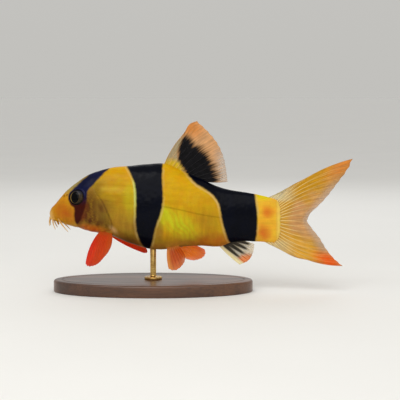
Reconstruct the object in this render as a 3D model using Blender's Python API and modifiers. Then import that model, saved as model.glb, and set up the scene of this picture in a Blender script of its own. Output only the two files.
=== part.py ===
"""A clown loach, life size, as a still model held over a plain display stand.

The fish heads along -X with its left side towards -Y, and +Z is up. The origin is the middle
of the stand's underside. The fish is drawn straight, in millimetres: a place on it is its
distance behind the snout tip, its side offset (left is negative) and its height over the floor.
Each finished piece is then swung sideways along one swimming wave and scaled to metres.
"""

import math

import bmesh
import bpy
from mathutils import Vector

MM = 0.001
GAP = 0.3  # clearance that touching pieces keep

# Driving sizes of the fish
BODY_LENGTH = 114.0  # snout tip to the root of the tail fin
TOTAL_LENGTH = 151.0  # snout tip to the tip of the upper tail lobe
ROD_PLACE = 51.5  # distance behind the snout at which the rod holds the fish
GILL_PLATE = 0.4  # how far the gill cover stands proud of the flank
HEAD_LENGTH = 31.0
TAIL_CUT = 94.0  # distance behind the snout at which the tail stalk starts
NOSE_ROUND = 1.6  # length of the round nose cap
BACK_KEEL = 1.12  # over 1 draws the back to a ridge

# Distance, back, belly, half width, widest level (share of depth), belly fullness (1 is an ellipse)
STATIONS = (
    (0.0, 41.4, 37.5, 2.2, 0.45, 0.90),
    (2.5, 43.7, 36.1, 3.2, 0.42, 0.80),
    (7.5, 49.5, 34.1, 5.0, 0.38, 0.74),
    (12.5, 54.0, 32.6, 6.3, 0.38, 0.72),
    (20.0, 58.8, 30.5, 7.8, 0.40, 0.74),
    (30.0, 62.0, 28.3, 9.3, 0.43, 0.80),
    (40.0, 63.1, 24.5, 10.2, 0.45, 0.84),
    (49.0, 63.8, 21.6, 10.6, 0.46, 0.86),
    (57.0, 64.0, 21.2, 10.3, 0.47, 0.88),
    (66.0, 60.3, 22.3, 9.4, 0.47, 0.90),
    (75.0, 56.4, 22.8, 8.0, 0.47, 0.92),
    (84.0, 52.8, 22.6, 6.5, 0.48, 0.94),
    (92.0, 50.6, 25.1, 5.1, 0.50, 0.96),
    (102.0, 49.1, 25.2, 3.6, 0.50, 1.00),
    (114.0, 46.2, 24.6, 1.2, 0.50, 1.00),
)
RING_POINTS = 40
RING_STEPS = ((HEAD_LENGTH, 1.45), (TAIL_CUT, 2.8), (BODY_LENGTH, 2.5))

# Rear edge of the gill cover, from over the nape to under the throat: distance, height
GILL_EDGE = (
    (24.6, 72.0), (22.6, 60.0), (22.8, 52.0), (26.2, 45.4), (29.2, 38.8),
    (31.4, 34.4), (30.6, 31.9), (26.6, 30.7), (24.2, 28.0), (23.6, 18.0),
)

# Eye: distance and height of its middle, radius, half depth, and how far it bulges from the skin
EYE = (13.4, 47.5)
EYE_RADIUS = 3.9
EYE_HALF_DEPTH = 1.95
EYE_BULGE = 0.9
NOSTRIL = (7.7, 48.2)
NOSTRIL_RADIUS = 0.45

# Mouth, seen from below: arcs round a point on the middle line, as distance, reach, half width
LIP_MIDDLE = 4.1
UPPER_LIP = (3.4, 2.5, 0.75)
UPPER_LIP_SPREAD = 105  # degrees of the arc to each side
MOUTH_SLIT = (2.45, 1.95, 0.30)
LOWER_LIP = (1.6, 1.4, 0.62)
LOWER_LIP_SPREAD = 75
MOUTH_SLIT_SPREAD = 85

# Barbels of the left side: root (distance, side), way out, length, root radius
BARBELS = {
    "barbel_rostral_inner": ((0.7, 1.0), (-0.45, -0.25, -0.86), 4.6, 0.48),
    "barbel_rostral_outer": ((1.9, 2.3), (-0.08, -0.42, -0.90), 5.4, 0.50),
    "barbel_maxillary": ((5.2, 3.2), (0.42, -0.38, -0.82), 6.0, 0.52),
}
BARBEL_TIP = 0.22
BARBEL_SAG = (0.21, 0.0, -0.12)  # how its tip sags back and down, as shares of its length

# Fins: thickness of the membrane and of the rays at their roots
MEMBRANE = 0.5
RAY_RIDGE = 0.75
LEADING_RIDGE = 1.1
RIDGE_FADE = 0.65  # share of a ridge that is gone at the ray's tip
ROOT_SINK = 2.2  # how deep a fin is drawn into the body before it is trimmed to the skin

# Stand
BASE_HALF_LENGTH = 50.0
BASE_HALF_WIDTH = 23.0
BASE_HEIGHT = 6.0
BASE_EDGE = 1.2
ROD_RADIUS = 1.5
ROD_TOP = 24.2  # sunk into a pocket in the belly
FOOT_RADIUS = 4.4
FOOT_HEIGHT = 1.1

SKIN_YELLOW = (0.80, 0.49, 0.02)
FIN_RED = (0.80, 0.12, 0.01)
FIN_ORANGE = (0.80, 0.38, 0.05)
BLACK = (0.012, 0.012, 0.02)
WOOD = (0.09, 0.045, 0.02)
BRASS = (0.75, 0.56, 0.25)


# General shape helpers

def clamp(value, low=0.0, high=1.0):
    return max(low, min(high, value))


def ease(value, low, high):
    """0 below low, 1 above high, and a smooth step between."""
    t = clamp((value - low) / (high - low))
    return t * t * (3 - 2 * t)


def hermite(table, x):
    """The row at x of a table whose first column is x, on a smooth curve through its rows."""
    xs = [row[0] for row in table]
    i = 0
    while i < len(table) - 2 and x > xs[i + 1]:
        i += 1
    h = xs[i + 1] - xs[i]
    t = clamp((x - xs[i]) / h)

    def slope(k, column):
        a, b = max(k - 1, 0), min(k + 1, len(table) - 1)
        return (table[b][column] - table[a][column]) / (xs[b] - xs[a])

    row = []
    for c in range(1, len(table[0])):
        p, q = table[i][c], table[i + 1][c]
        m, n = slope(i, c) * h, slope(i + 1, c) * h
        row.append(
            (2 * t**3 - 3 * t**2 + 1) * p + (t**3 - 2 * t**2 + t) * m
            + (-2 * t**3 + 3 * t**2) * q + (t**3 - t**2) * n
        )
    return row


def path_point(points, share):
    """The point at this share of a smooth path through the points, spaced by their distance."""
    marks = [0.0]
    for a, b in zip(points, points[1:]):
        marks.append(marks[-1] + math.dist(a, b))
    table = [(mark, *point) for mark, point in zip(marks, points)]
    return tuple(hermite(table, share * marks[-1]))


# The body's own form

def section(distance):
    """Back, belly, half width, widest height and belly fullness at this distance."""
    back, belly, half_width, widest, fullness = hermite(STATIONS, distance)
    middle = belly + widest * (back - belly)
    cap = math.sqrt(1 - (1 - clamp(distance / NOSE_ROUND)) ** 2)
    return (
        middle + (back - middle) * cap,
        middle - (middle - belly) * cap,
        half_width * cap,
        middle,
        fullness,
    )


def gill_swell(distance, height):
    """How far the head's side is pushed out where the gill cover lies."""
    along = ease(distance, 14.0, 21.0)
    up = ease(height, 29.0, 33.0) * (1 - ease(height, 48.0, 54.0))
    return GILL_PLATE * along * up


def skin_point(distance, angle, grow=0.0, plated=False):
    """A point on the skin. Angle 0 is the back and pi the belly; grow moves the skin outwards."""
    back, belly, half_width, middle, fullness = section(distance)
    up = math.cos(angle)
    if up >= 0:
        height = middle + (back - middle + grow) * up**BACK_KEEL
    else:
        height = middle - (middle - belly + grow) * (-up) ** fullness
    side = (half_width + grow) * math.sin(angle)
    if plated:
        side += math.copysign(gill_swell(distance, height), side) * abs(math.sin(angle))
    return (distance, side, height)


def under_height(distance, side):
    """Height of the skin under the head at this distance and side offset."""
    _, belly, half_width, middle, fullness = section(distance)
    across = clamp(abs(side) / max(half_width, 0.01), 0.0, 0.98)
    return middle - (middle - belly) * math.sqrt(1 - across**2) ** fullness


def flank_side(distance, height):
    """Half width of the body at this distance and height."""
    back, belly, half_width, middle, fullness = section(distance)
    if height > middle:
        up = clamp((height - middle) / (back - middle)) ** (1 / BACK_KEEL)
    else:
        up = clamp((middle - height) / (middle - belly)) ** (1 / fullness)
    return half_width * math.sqrt(1 - up**2)


def sway(distance):
    """Sideways swing of the swimming wave: small at the head and wide at the tail."""
    def wave(d):
        share = d / TOTAL_LENGTH
        return (0.8 + 4.0 * share**2) * math.sin(2 * math.pi * (0.95 * share - 0.15))
    return wave(distance) - wave(ROD_PLACE)


# Mesh helpers

def object_from(bm, name, collection):
    """A mesh object from a closed bmesh, its faces turned outwards."""
    bmesh.ops.recalc_face_normals(bm, faces=bm.faces)
    if bm.calc_volume(signed=True) < 0:
        bmesh.ops.reverse_faces(bm, faces=bm.faces)
    mesh = bpy.data.meshes.new(name)
    bm.to_mesh(mesh)
    bm.free()
    obj = bpy.data.objects.new(name, mesh)
    collection.objects.link(obj)
    return obj


def make_object(name, points, faces, collection):
    """A closed mesh object from points in millimetres and the faces between them."""
    bm = bmesh.new()
    vertices = [bm.verts.new(Vector(point) * MM) for point in points]
    for face in faces:
        bm.faces.new([vertices[k] for k in face])
    return object_from(bm, name, collection)


def apply_modifiers(obj):
    """Replaces the object's data by its evaluated mesh."""
    bpy.context.view_layer.update()
    graph = bpy.context.evaluated_depsgraph_get()
    mesh = bpy.data.meshes.new_from_object(obj.evaluated_get(graph))
    obj.modifiers.clear()
    obj.data = mesh
    mesh.name = obj.name


def as_mesh(curve_object, collection):
    """The closed mesh of a curve object, which is removed."""
    bpy.context.view_layer.update()
    graph = bpy.context.evaluated_depsgraph_get()
    mesh = bpy.data.meshes.new_from_object(curve_object.evaluated_get(graph))
    bm = bmesh.new()
    bm.from_mesh(mesh)
    bmesh.ops.remove_doubles(bm, verts=bm.verts, dist=0.00001)
    obj = object_from(bm, curve_object.name + "_mesh", collection)
    obj.matrix_world = curve_object.matrix_world
    bpy.data.objects.remove(curve_object)
    return obj


def keep_largest(obj):
    """Drops every closed surface of the object but the largest."""
    bm = bmesh.new()
    bm.from_mesh(obj.data)
    left, groups = set(bm.verts), []
    while left:
        stack, group = [left.pop()], set()
        while stack:
            vertex = stack.pop()
            group.add(vertex)
            for edge in vertex.link_edges:
                other = edge.other_vert(vertex)
                if other in left:
                    left.remove(other)
                    stack.append(other)
        groups.append(group)

    def spread(group):
        sides = [[v.co[axis] for v in group] for axis in range(3)]
        return math.prod(max(side) - min(side) for side in sides)

    groups.sort(key=spread)
    loose = [vertex for group in groups[:-1] for vertex in group]
    bmesh.ops.delete(bm, geom=loose, context="VERTS")
    bm.to_mesh(obj.data)
    bm.free()


def combine(obj, others, operation):
    """One Boolean with other closed meshes, applied at once. The other objects are removed."""
    tools = bpy.data.collections.new("tools")
    bpy.context.scene.collection.children.link(tools)
    for other in others:
        for holder in other.users_collection:
            holder.objects.unlink(other)
        tools.objects.link(other)
    modifier = obj.modifiers.new("join" if operation == "UNION" else "cut", "BOOLEAN")
    modifier.operation = operation
    modifier.operand_type = "COLLECTION"
    modifier.collection = tools
    modifier.solver = "EXACT"
    apply_modifiers(obj)
    for other in others:
        bpy.data.objects.remove(other)
    bpy.data.collections.remove(tools)
    keep_largest(obj)
    return obj


def tube(name, points, radii, collection, sides=2):
    """A round tube through the points, with a radius at each, as a closed mesh."""
    curve = bpy.data.curves.new(name, "CURVE")
    curve.dimensions = "3D"
    curve.bevel_depth = MM
    curve.bevel_resolution = sides
    curve.use_fill_caps = True
    spline = curve.splines.new("POLY")
    spline.points.add(len(points) - 1)
    for knot, point, radius in zip(spline.points, points, radii):
        knot.co = (*(Vector(point) * MM), 1.0)
        knot.radius = radius
    obj = bpy.data.objects.new(name, curve)
    collection.objects.link(obj)
    return as_mesh(obj, collection)


def finish(obj, name, material, crease=50):
    """Names a fish piece, swings it along the wave, moves it over the stand and shades it."""
    obj.name = name
    obj.data.name = name
    for vertex in obj.data.vertices:
        distance = vertex.co.x / MM
        vertex.co.y += sway(distance) * MM
        vertex.co.x = (distance - ROD_PLACE) * MM
    obj.data.materials.clear()
    obj.data.materials.append(material)
    obj.data.shade_smooth()
    obj.data.set_sharp_from_angle(angle=math.radians(crease))


def paint(name, color, roughness, metallic=0.0):
    material = bpy.data.materials.new(name)
    material.use_nodes = True
    shader = material.node_tree.nodes["Principled BSDF"]
    shader.inputs["Base Color"].default_value = (*color, 1.0)
    shader.inputs["Roughness"].default_value = roughness
    shader.inputs["Metallic"].default_value = metallic
    return material


# Body, head and tail stalk

def ring_places():
    """Distances at which the body's rings lie, closer at the nose and head."""
    places = [NOSE_ROUND * (1 - math.cos(math.radians(step))) for step in (20, 42, 64)]
    start = NOSE_ROUND
    for end, spacing in RING_STEPS:
        count = round((end - start) / spacing)
        places += [start + (end - start) * k / count for k in range(count)]
        start = end
    return places + [BODY_LENGTH]


def body_loft(name, collection, grow=0.0, plated=False):
    """The whole body as one closed loft, from the nose to the root of the tail fin."""
    points, faces = [(-grow, 0.0, section(0.0)[3])], []
    places = ring_places()
    for place in places:
        for k in range(RING_POINTS):
            angle = 2 * math.pi * k / RING_POINTS
            point = skin_point(place, angle, grow, plated)
            reach = grow if place == places[-1] else 0.0
            points.append((point[0] + reach, point[1], point[2]))
    for k in range(RING_POINTS):
        faces.append((0, 1 + k, 1 + (k + 1) % RING_POINTS))
    for row in range(len(places) - 1):
        a = 1 + row * RING_POINTS
        for k in range(RING_POINTS):
            j = (k + 1) % RING_POINTS
            faces.append((a + k, a + k + RING_POINTS, a + j + RING_POINTS))
            faces.append((a + k, a + j + RING_POINTS, a + j))
    last = 1 + (len(places) - 1) * RING_POINTS
    faces.append(tuple(last + k for k in range(RING_POINTS)))
    return make_object(name, points, faces, collection)


def front_block(collection, shift):
    """A block that holds everything before the gill edge, with that edge moved back by shift."""
    count = 26
    edge = [path_point(GILL_EDGE, k / count) for k in range(count + 1)]
    outline = [(x + shift, z) for x, z in edge]
    outline += [(-20.0, GILL_EDGE[-1][1]), (-20.0, GILL_EDGE[0][1])]
    reach = 30.0
    points = [(x, side, z) for side in (-reach, reach) for x, z in outline]
    n = len(outline)
    faces = [tuple(range(n)), tuple(range(2 * n - 1, n - 1, -1))]
    faces += [(k, (k + 1) % n, n + (k + 1) % n, n + k) for k in range(n)]
    return make_object("front_block", points, faces, collection)


def tail_block(collection, shift):
    """A block that holds everything behind the cut of the tail stalk."""
    size = 80.0
    bm = bmesh.new()
    bmesh.ops.create_cube(bm, size=size * MM)
    middle = Vector((TAIL_CUT + shift + size / 2, 0.0, size / 2))
    bmesh.ops.translate(bm, verts=bm.verts, vec=middle * MM)
    return object_from(bm, "tail_block", collection)


def eye_axes(side):
    """The eye's middle and its way back, up and out of the head, square to the skin round it."""
    distance, height = EYE
    step = 0.5
    across = flank_side(distance, height)
    lean_back = (flank_side(distance + step, height) - across) / step
    lean_up = (flank_side(distance, height + step) - across) / step
    out = Vector((-lean_back, side, -lean_up)).normalized()
    back = Vector((1.0, 0.0, 0.0))
    back = (back - out * back.dot(out)).normalized()
    up = out.cross(back) * -side
    middle = Vector((distance, side * across, height)) + out * (EYE_BULGE - EYE_HALF_DEPTH)
    return middle, back, up, out


def eye_ball(name, side, collection, grow=0.0):
    """The eye as a flattened round solid, grown by the gap where it cuts its socket."""
    middle, back, up, out = eye_axes(side)
    radius, depth = EYE_RADIUS + grow, EYE_HALF_DEPTH + grow
    bm = bmesh.new()
    bmesh.ops.create_uvsphere(bm, u_segments=18, v_segments=11, radius=1.0)
    for vertex in bm.verts:
        x, y, z = vertex.co
        vertex.co = (middle + back * (x * radius) + up * (y * radius) + out * (z * depth)) * MM
    bmesh.ops.triangulate(bm, faces=bm.faces)
    return object_from(bm, name, collection)


def mouth_arc(reach, half_width, spread, count=13, lift=0.0):
    """Points of an arc round the mouth, open to the rear, on the skin under the snout."""
    points = []
    for k in range(count):
        angle = math.radians(spread) * (2 * k / (count - 1) - 1)
        distance = LIP_MIDDLE - reach * math.cos(angle)
        side = half_width * math.sin(angle)
        points.append((distance, side, under_height(distance, side) + lift))
    return points


def mouth_roll(name, arc, spread, collection, lift=0.0, grow=0.0):
    """A lip or slit: a tube along a mouth arc that thins towards both ends."""
    reach, half_width, radius = arc
    ends = 0.45
    points = mouth_arc(reach, half_width, spread, lift=lift)
    last = len(points) - 1
    swell = [ends + (1 - ends) * math.sin(math.pi * k / last) for k in range(last + 1)]
    return tube(name, points, [radius * share + grow for share in swell], collection)


def lips(collection, grow=0.0):
    """The fleshy upper and lower lip."""
    return [
        mouth_roll("upper_lip", UPPER_LIP, UPPER_LIP_SPREAD, collection, grow=grow),
        mouth_roll("lower_lip", LOWER_LIP, LOWER_LIP_SPREAD, collection, grow=grow),
    ]


def chin_knobs(collection):
    """The two tiny barbels of the lower lip, as short knobs."""
    knobs = []
    for side in (-1, 1):
        root = (LIP_MIDDLE - 0.4, side * 0.9, under_height(LIP_MIDDLE - 0.4, 0.9) + 0.3)
        end = (root[0] + 0.5, root[1] * 1.2, root[2] - 1.9)
        middle = tuple((a + b) / 2 for a, b in zip(root, end))
        knobs.append(tube("chin_knob", [root, middle, end], [0.42, 0.36, 0.25], collection))
    return knobs


def nostril_pits(collection):
    """Two pits on each side, the front one in a low rim."""
    rims, pits = [], []
    for side in (-1, 1):
        for step, radius in ((0.0, NOSTRIL_RADIUS), (1.3, NOSTRIL_RADIUS * 0.8)):
            place, height = NOSTRIL[0] + step, NOSTRIL[1] + 0.5 * step
            out = flank_side(place, height)
            if step == 0.0:
                rim = [(place, side * (out - 0.8), height), (place, side * (out + 0.2), height)]
                rims.append(tube("rim", rim, [radius + 0.75, radius + 0.25], collection))
            pit = [(place, side * (out - 0.7), height), (place, side * (out + 1.2), height)]
            pits.append(tube("pit", pit, [radius * 0.8, radius], collection))
    return rims, pits


def build_head(collection):
    head = body_loft("head", collection, plated=True)
    eyes = [eye_ball("socket", side, collection, grow=GAP) for side in (-1, 1)]
    rims, pits = nostril_pits(collection)
    combine(head, lips(collection) + chin_knobs(collection) + rims, "UNION")
    slit = mouth_roll("slit", MOUTH_SLIT, MOUTH_SLIT_SPREAD, collection, lift=-0.1)
    combine(head, eyes + pits + [slit], "DIFFERENCE")
    return combine(head, [front_block(collection, 0.0)], "INTERSECT")


def rod_pocket(collection):
    return tube(
        "pocket",
        [(ROD_PLACE, 0.0, 0.0), (ROD_PLACE, 0.0, ROD_TOP + GAP)],
        [ROD_RADIUS + GAP] * 2,
        collection,
        sides=4,
    )


def build_trunk(collection):
    trunk = body_loft("trunk", collection)
    cutters = [front_block(collection, GAP), tail_block(collection, 0.0), rod_pocket(collection)]
    return combine(trunk, cutters, "DIFFERENCE")


def build_tail_stalk(collection):
    stalk = body_loft("tail_stalk", collection)
    return combine(stalk, [tail_block(collection, GAP)], "INTERSECT")


# Fins

def ray_fan(count, root_path, tip_path, bows):
    """Rays as (root, tip, bow): roots and tips spaced along two paths, the bow changing evenly."""
    rays = []
    for k in range(count):
        share = k / (count - 1)
        bow = bows[0] + (bows[1] - bows[0]) * share
        rays.append((path_point(root_path, share), path_point(tip_path, share), bow))
    return rays


def ray_point(ray, t):
    """The point at share t along a ray, which bows sideways. A negative t lies behind its root."""
    (rx, rz), (tx, tz), bow = ray
    dx, dz = tx - rx, tz - rz
    length = math.hypot(dx, dz)
    out = 4 * bow * t * (1 - t) if t > 0 else 4 * bow * t
    return (rx + dx * t + dz / length * out, rz + dz * t - dx / length * out)


def between(a, b):
    """A membrane line halfway between two rays, its edge a little short."""
    mean = [tuple((p + q) / 2 for p, q in zip(a[k], b[k])) for k in (0, 1)]
    short = tuple(r + (t - r) * 0.985 for r, t in zip(*mean))
    return (mean[0], short, (a[2] + b[2]) / 2)


def fin_slab(name, rays, place, collection, rows, lead):
    """A closed fin: ridged rays with membrane between. place maps (x, z, offset) to the fish."""
    lines = []
    for k, ray in enumerate(rays):
        lines.append((ray, LEADING_RIDGE if k == lead else RAY_RIDGE))
        if k < len(rays) - 1:
            lines.append((between(ray, rays[k + 1]), 0.0))
    points = []
    for side in (-1, 1):
        for line, ridge in lines:
            sink = -ROOT_SINK / math.dist(line[0], line[1])
            for row in range(rows + 1):
                t = sink + (1 - sink) * row / rows
                half = (MEMBRANE + ridge * (1 - RIDGE_FADE * max(t, 0.0))) / 2
                x, z = ray_point(line, t)
                points.append(place(x, z, side * half))
    columns, stride = len(lines), rows + 1
    back = columns * stride
    faces = []
    for c in range(columns - 1):
        for r in range(rows):
            a, b = c * stride + r, (c + 1) * stride + r
            faces += [(a, b, b + 1), (a, b + 1, a + 1)]
            faces += [(back + a, back + b + 1, back + b), (back + a, back + a + 1, back + b + 1)]
    rim = [c * stride for c in range(columns)]
    rim += [(columns - 1) * stride + r for r in range(1, rows + 1)]
    rim += [c * stride + rows for c in range(columns - 2, -1, -1)]
    rim += [r for r in range(rows - 1, 0, -1)]
    for a, b in zip(rim, rim[1:] + rim[:1]):
        faces += [(a, back + a, b), (b, back + a, back + b)]
    return make_object(name, points, faces, collection)


def median_place(curl, level, reach):
    """Fins on the middle line lie in the fish's own plane, and curl sideways away from a level."""
    def place(x, z, offset):
        return (x, offset + curl * ((z - level) / reach) ** 2, z)
    return place


def side_place(root, along, out, spread, cup):
    """Places a paired fin: x runs along its root line and z out to its tips, with a cupped face."""
    out = Vector(out).normalized()
    along = Vector(along)
    along = (along - out * along.dot(out)).normalized()
    normal = along.cross(out)

    def place(x, z, offset):
        bend = cup * z * z
        return tuple(Vector(root) + along * (x * spread) + out * z + normal * (offset + bend))

    return place


def trimmed(fin, collection, plated=False, others=()):
    """Cuts a fin or barbel back to the skin and to other forms on it, less the gap."""
    skin = body_loft("skin", collection, GAP, plated)
    return combine(fin, [skin, *others], "DIFFERENCE")


DORSAL = {
    "count": 11,
    "roots": ((57.0, 63.6), (66.0, 60.2), (76.5, 55.2)),
    "tips": ((74.0, 84.9), (79.2, 80.0), (83.8, 74.2), (86.8, 67.6), (88.2, 60.5), (88.8, 55.0)),
    "bows": (-2.1, 0.5),
}
ANAL = {
    "count": 8,
    "roots": ((84.6, 22.8), (94.2, 25.6)),
    "tips": ((94.9, 13.5), (99.2, 15.4), (101.6, 19.4), (102.3, 23.8)),
    "bows": (0.4, -0.4),
}
# The tail fin's upper and lower lobe: short rays on the stalk's edge, and the long main rays
TAIL_MIDDLE = 35.8
UPPER_EDGE = {
    "count": 4,
    "roots": ((108.4, 47.0), (112.4, 46.2)),
    "tips": ((116.4, 50.0), (126.4, 56.2)),
    "bows": (-0.3, -1.2),
}
UPPER_MAIN = {
    "count": 10,
    "roots": ((113.4, 45.4), (114.2, TAIL_MIDDLE + GAP / 2)),
    "tips": (
        (150.6, 66.8), (148.2, 61.6), (143.4, 55.0), (138.2, 48.2),
        (133.2, 42.9), (129.6, 39.4), (128.2, TAIL_MIDDLE + GAP / 2),
    ),
    "bows": (-3.1, 0.0),
}
LOWER_MAIN = {
    "count": 9,
    "roots": ((114.2, TAIL_MIDDLE - GAP / 2), (113.4, 25.4)),
    "tips": (
        (128.2, TAIL_MIDDLE - GAP / 2), (130.8, 32.0), (134.6, 27.4),
        (137.8, 22.0), (142.0, 16.9), (146.2, 13.4),
    ),
    "bows": (0.0, 3.4),
}
LOWER_EDGE = {
    "count": 4,
    "roots": ((112.4, 24.6), (108.4, 24.4)),
    "tips": ((124.6, 16.9), (116.0, 21.6)),
    "bows": (1.2, 0.3),
}
# Paired fins are drawn flat: x along the root line from the leading ray, z out to the tips
PECTORAL = {
    "count": 13,
    "roots": ((-3.1, 0.0), (3.1, 0.6)),
    "tips": ((-3.7, 20.6), (-1.8, 21.8), (0.6, 20.4), (2.8, 17.0), (4.2, 12.8), (4.8, 8.8)),
    "bows": (-1.4, 0.5),
}
PELVIC = {
    "count": 8,
    "roots": ((-2.9, 0.0), (2.9, 0.4)),
    "tips": ((-3.0, 13.9), (-0.6, 15.2), (2.4, 14.6), (5.0, 11.4), (5.8, 7.2)),
    "bows": (-0.5, 0.3),
}
# Each paired fin: form, middle of its root, way along the root line, way out, spread, cup.
# The left fins stand out from the body and the right ones are half folded back along it.
PAIRED = {
    "pectoral_fin_left": (PECTORAL, (28.6, -4.7, 30.2), (0.92, -0.18, -0.34), (-0.27, -0.70, -0.66), 1.0, 0.004),
    "pectoral_fin_right": (PECTORAL, (30.2, 5.0, 29.4), (0.35, -0.55, 0.75), (0.86, 0.17, -0.50), 0.7, 0.002),
    "pelvic_fin_left": (PELVIC, (61.6, -3.9, 22.6), (0.97, -0.10, 0.06), (0.06, -0.82, -0.57), 1.0, 0.006),
    "pelvic_fin_right": (PELVIC, (63.4, 3.9, 22.6), (-0.30, 0.35, -0.80), (0.93, 0.18, -0.32), 1.0, 0.004),
}
FIN_CURLS = {
    "dorsal_fin": (1.6, 58.0, 27.0),
    "anal_fin": (-0.8, 24.0, 10.0),
    "tail_fin_upper": (1.4, TAIL_MIDDLE, 31.0),
    "tail_fin_lower": (0.8, TAIL_MIDDLE, 22.0),
}


def fan_of(form):
    return ray_fan(form["count"], form["roots"], form["tips"], form["bows"])


def build_fins(collection):
    """Every fin with its root cut to the skin, by node name."""
    upper = fan_of(UPPER_EDGE) + fan_of(UPPER_MAIN)
    lower = fan_of(LOWER_MAIN) + fan_of(LOWER_EDGE)
    # Rays, rows of points along a ray, and the stout ray
    median = {
        "dorsal_fin": (fan_of(DORSAL), 8, 0),
        "anal_fin": (fan_of(ANAL), 6, 0),
        "tail_fin_upper": (upper, 8, UPPER_EDGE["count"]),
        "tail_fin_lower": (lower, 8, LOWER_MAIN["count"] - 1),
    }
    fins = {}
    for name, (rays, rows, lead) in median.items():
        place = median_place(*FIN_CURLS[name])
        fins[name] = fin_slab(name, rays, place, collection, rows, lead)
    for name, (form, *setting) in PAIRED.items():
        place = side_place(*setting)
        fins[name] = fin_slab(name, fan_of(form), place, collection, 7, 0)
    for name, fin in fins.items():
        trimmed(fin, collection, plated=name.startswith("pectoral"))
    return fins


# Barbels

def build_barbel(name, side, collection):
    (distance, offset), way, length, radius = BARBELS[name]
    way = Vector(way).normalized()
    way.y *= -side
    root = Vector((distance, side * offset, under_height(distance, offset)))
    sag = Vector(BARBEL_SAG)
    count = 6
    points, radii = [root - way * 1.2], [radius]
    for k in range(count + 1):
        t = k / count
        points.append(root + (way * t + sag * t * t) * length)
        radii.append(radius + (BARBEL_TIP - radius) * t)
    return tube(name, points, radii, collection)


# Stand

def build_base(collection, material):
    bm = bmesh.new()
    bmesh.ops.create_cone(
        bm, cap_ends=True, segments=48, radius1=MM, radius2=MM, depth=BASE_HEIGHT * MM
    )
    for vertex in bm.verts:
        vertex.co.x *= BASE_HALF_LENGTH
        vertex.co.y *= BASE_HALF_WIDTH
        vertex.co.z += BASE_HEIGHT * MM / 2
    rims = [e for e in bm.edges if all(v.co.z > BASE_HEIGHT * MM * 0.9 for v in e.verts)]
    bmesh.ops.bevel(bm, geom=rims, offset=BASE_EDGE * MM, segments=3, profile=0.5, affect="EDGES")
    base = object_from(bm, "stand_base", collection)
    base.data.materials.append(material)


def build_rod(collection, material):
    """The brass rod with its round foot, turned about the upright axis."""
    low = BASE_HEIGHT + GAP
    foot_top = low + FOOT_HEIGHT
    profile = [
        (0.0, ROD_TOP), (ROD_RADIUS * 0.7, ROD_TOP), (ROD_RADIUS, ROD_TOP - 0.4),
        (ROD_RADIUS, foot_top + 1.0), (ROD_RADIUS + 0.35, foot_top + 0.3), (ROD_RADIUS + 1.0, foot_top),
        (FOOT_RADIUS - 0.3, foot_top), (FOOT_RADIUS, foot_top - 0.3), (FOOT_RADIUS, low), (0.0, low),
    ]
    mesh = bpy.data.meshes.new("stand_rod")
    points = [(x * MM, 0.0, z * MM) for x, z in profile]
    mesh.from_pydata(points, [(k, k + 1) for k in range(len(points) - 1)], [])
    rod = bpy.data.objects.new("stand_rod", mesh)
    collection.objects.link(rod)
    screw = rod.modifiers.new("turn", "SCREW")
    screw.steps = screw.render_steps = 24
    screw.use_merge_vertices = True
    screw.merge_threshold = 0.00001
    mesh.materials.append(material)


def main():
    for obj in list(bpy.data.objects):
        bpy.data.objects.remove(obj)
    fish = bpy.data.collections.new("clown_loach")
    bpy.context.scene.collection.children.link(fish)

    skin = paint("skin", SKIN_YELLOW, 0.35)
    red = paint("red_fin", FIN_RED, 0.4)
    orange = paint("orange_fin", FIN_ORANGE, 0.4)
    black = paint("eye", BLACK, 0.1)
    wood = paint("stand_wood", WOOD, 0.4)
    brass = paint("stand_brass", BRASS, 0.25, 1.0)

    finish(build_head(fish), "head", skin)
    finish(build_trunk(fish), "trunk", skin)
    finish(build_tail_stalk(fish), "tail_stalk", skin)
    for name, fin in build_fins(fish).items():
        finish(fin, name, red if name in PAIRED else orange, crease=15)
    for side, word in ((-1, "left"), (1, "right")):
        finish(eye_ball("eye", side, fish), f"eye_{word}", black)
        for name in BARBELS:
            barbel = build_barbel(name, side, fish)
            trimmed(barbel, fish, others=lips(fish, GAP))
            finish(barbel, f"{name}_{word}", skin)
    build_base(fish, wood)
    build_rod(fish, brass)


main()
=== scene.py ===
"""The looks of the clown loach model: one skin, fins, eyes, barbels and the stand, with floor,
light and camera.

Shapes are drawn as the solids are: in millimetres on a straight fish, as distance behind the
snout tip, side offset (left is negative) and height over the floor. to_world() then swings them
along the swimming wave, moves them over the stand and scales them to metres.
"""

from math import cos, pi, radians, sin, sqrt, tau

import bpy
import numpy as np
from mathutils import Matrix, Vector


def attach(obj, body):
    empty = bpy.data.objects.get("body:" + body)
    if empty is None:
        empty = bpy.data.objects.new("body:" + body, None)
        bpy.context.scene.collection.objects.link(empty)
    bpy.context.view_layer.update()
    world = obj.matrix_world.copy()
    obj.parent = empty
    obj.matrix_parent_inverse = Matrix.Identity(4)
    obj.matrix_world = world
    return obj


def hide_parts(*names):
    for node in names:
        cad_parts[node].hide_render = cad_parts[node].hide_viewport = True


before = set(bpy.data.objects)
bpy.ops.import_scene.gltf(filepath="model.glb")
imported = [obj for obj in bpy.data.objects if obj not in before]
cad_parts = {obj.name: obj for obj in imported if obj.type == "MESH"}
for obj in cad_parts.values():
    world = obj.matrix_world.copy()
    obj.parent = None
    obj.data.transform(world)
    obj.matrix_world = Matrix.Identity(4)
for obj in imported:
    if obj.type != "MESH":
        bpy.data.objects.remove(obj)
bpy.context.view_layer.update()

MM = 0.001

# Driving sizes of the fish, as in the solids
BODY_LENGTH = 114
TOTAL_LENGTH = 151
ROD_PLACE = 51.5
GILL_PLATE = 0.4
NOSE_ROUND = 1.6
BACK_KEEL = 1.12
ROOT_SINK = 2.2

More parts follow.
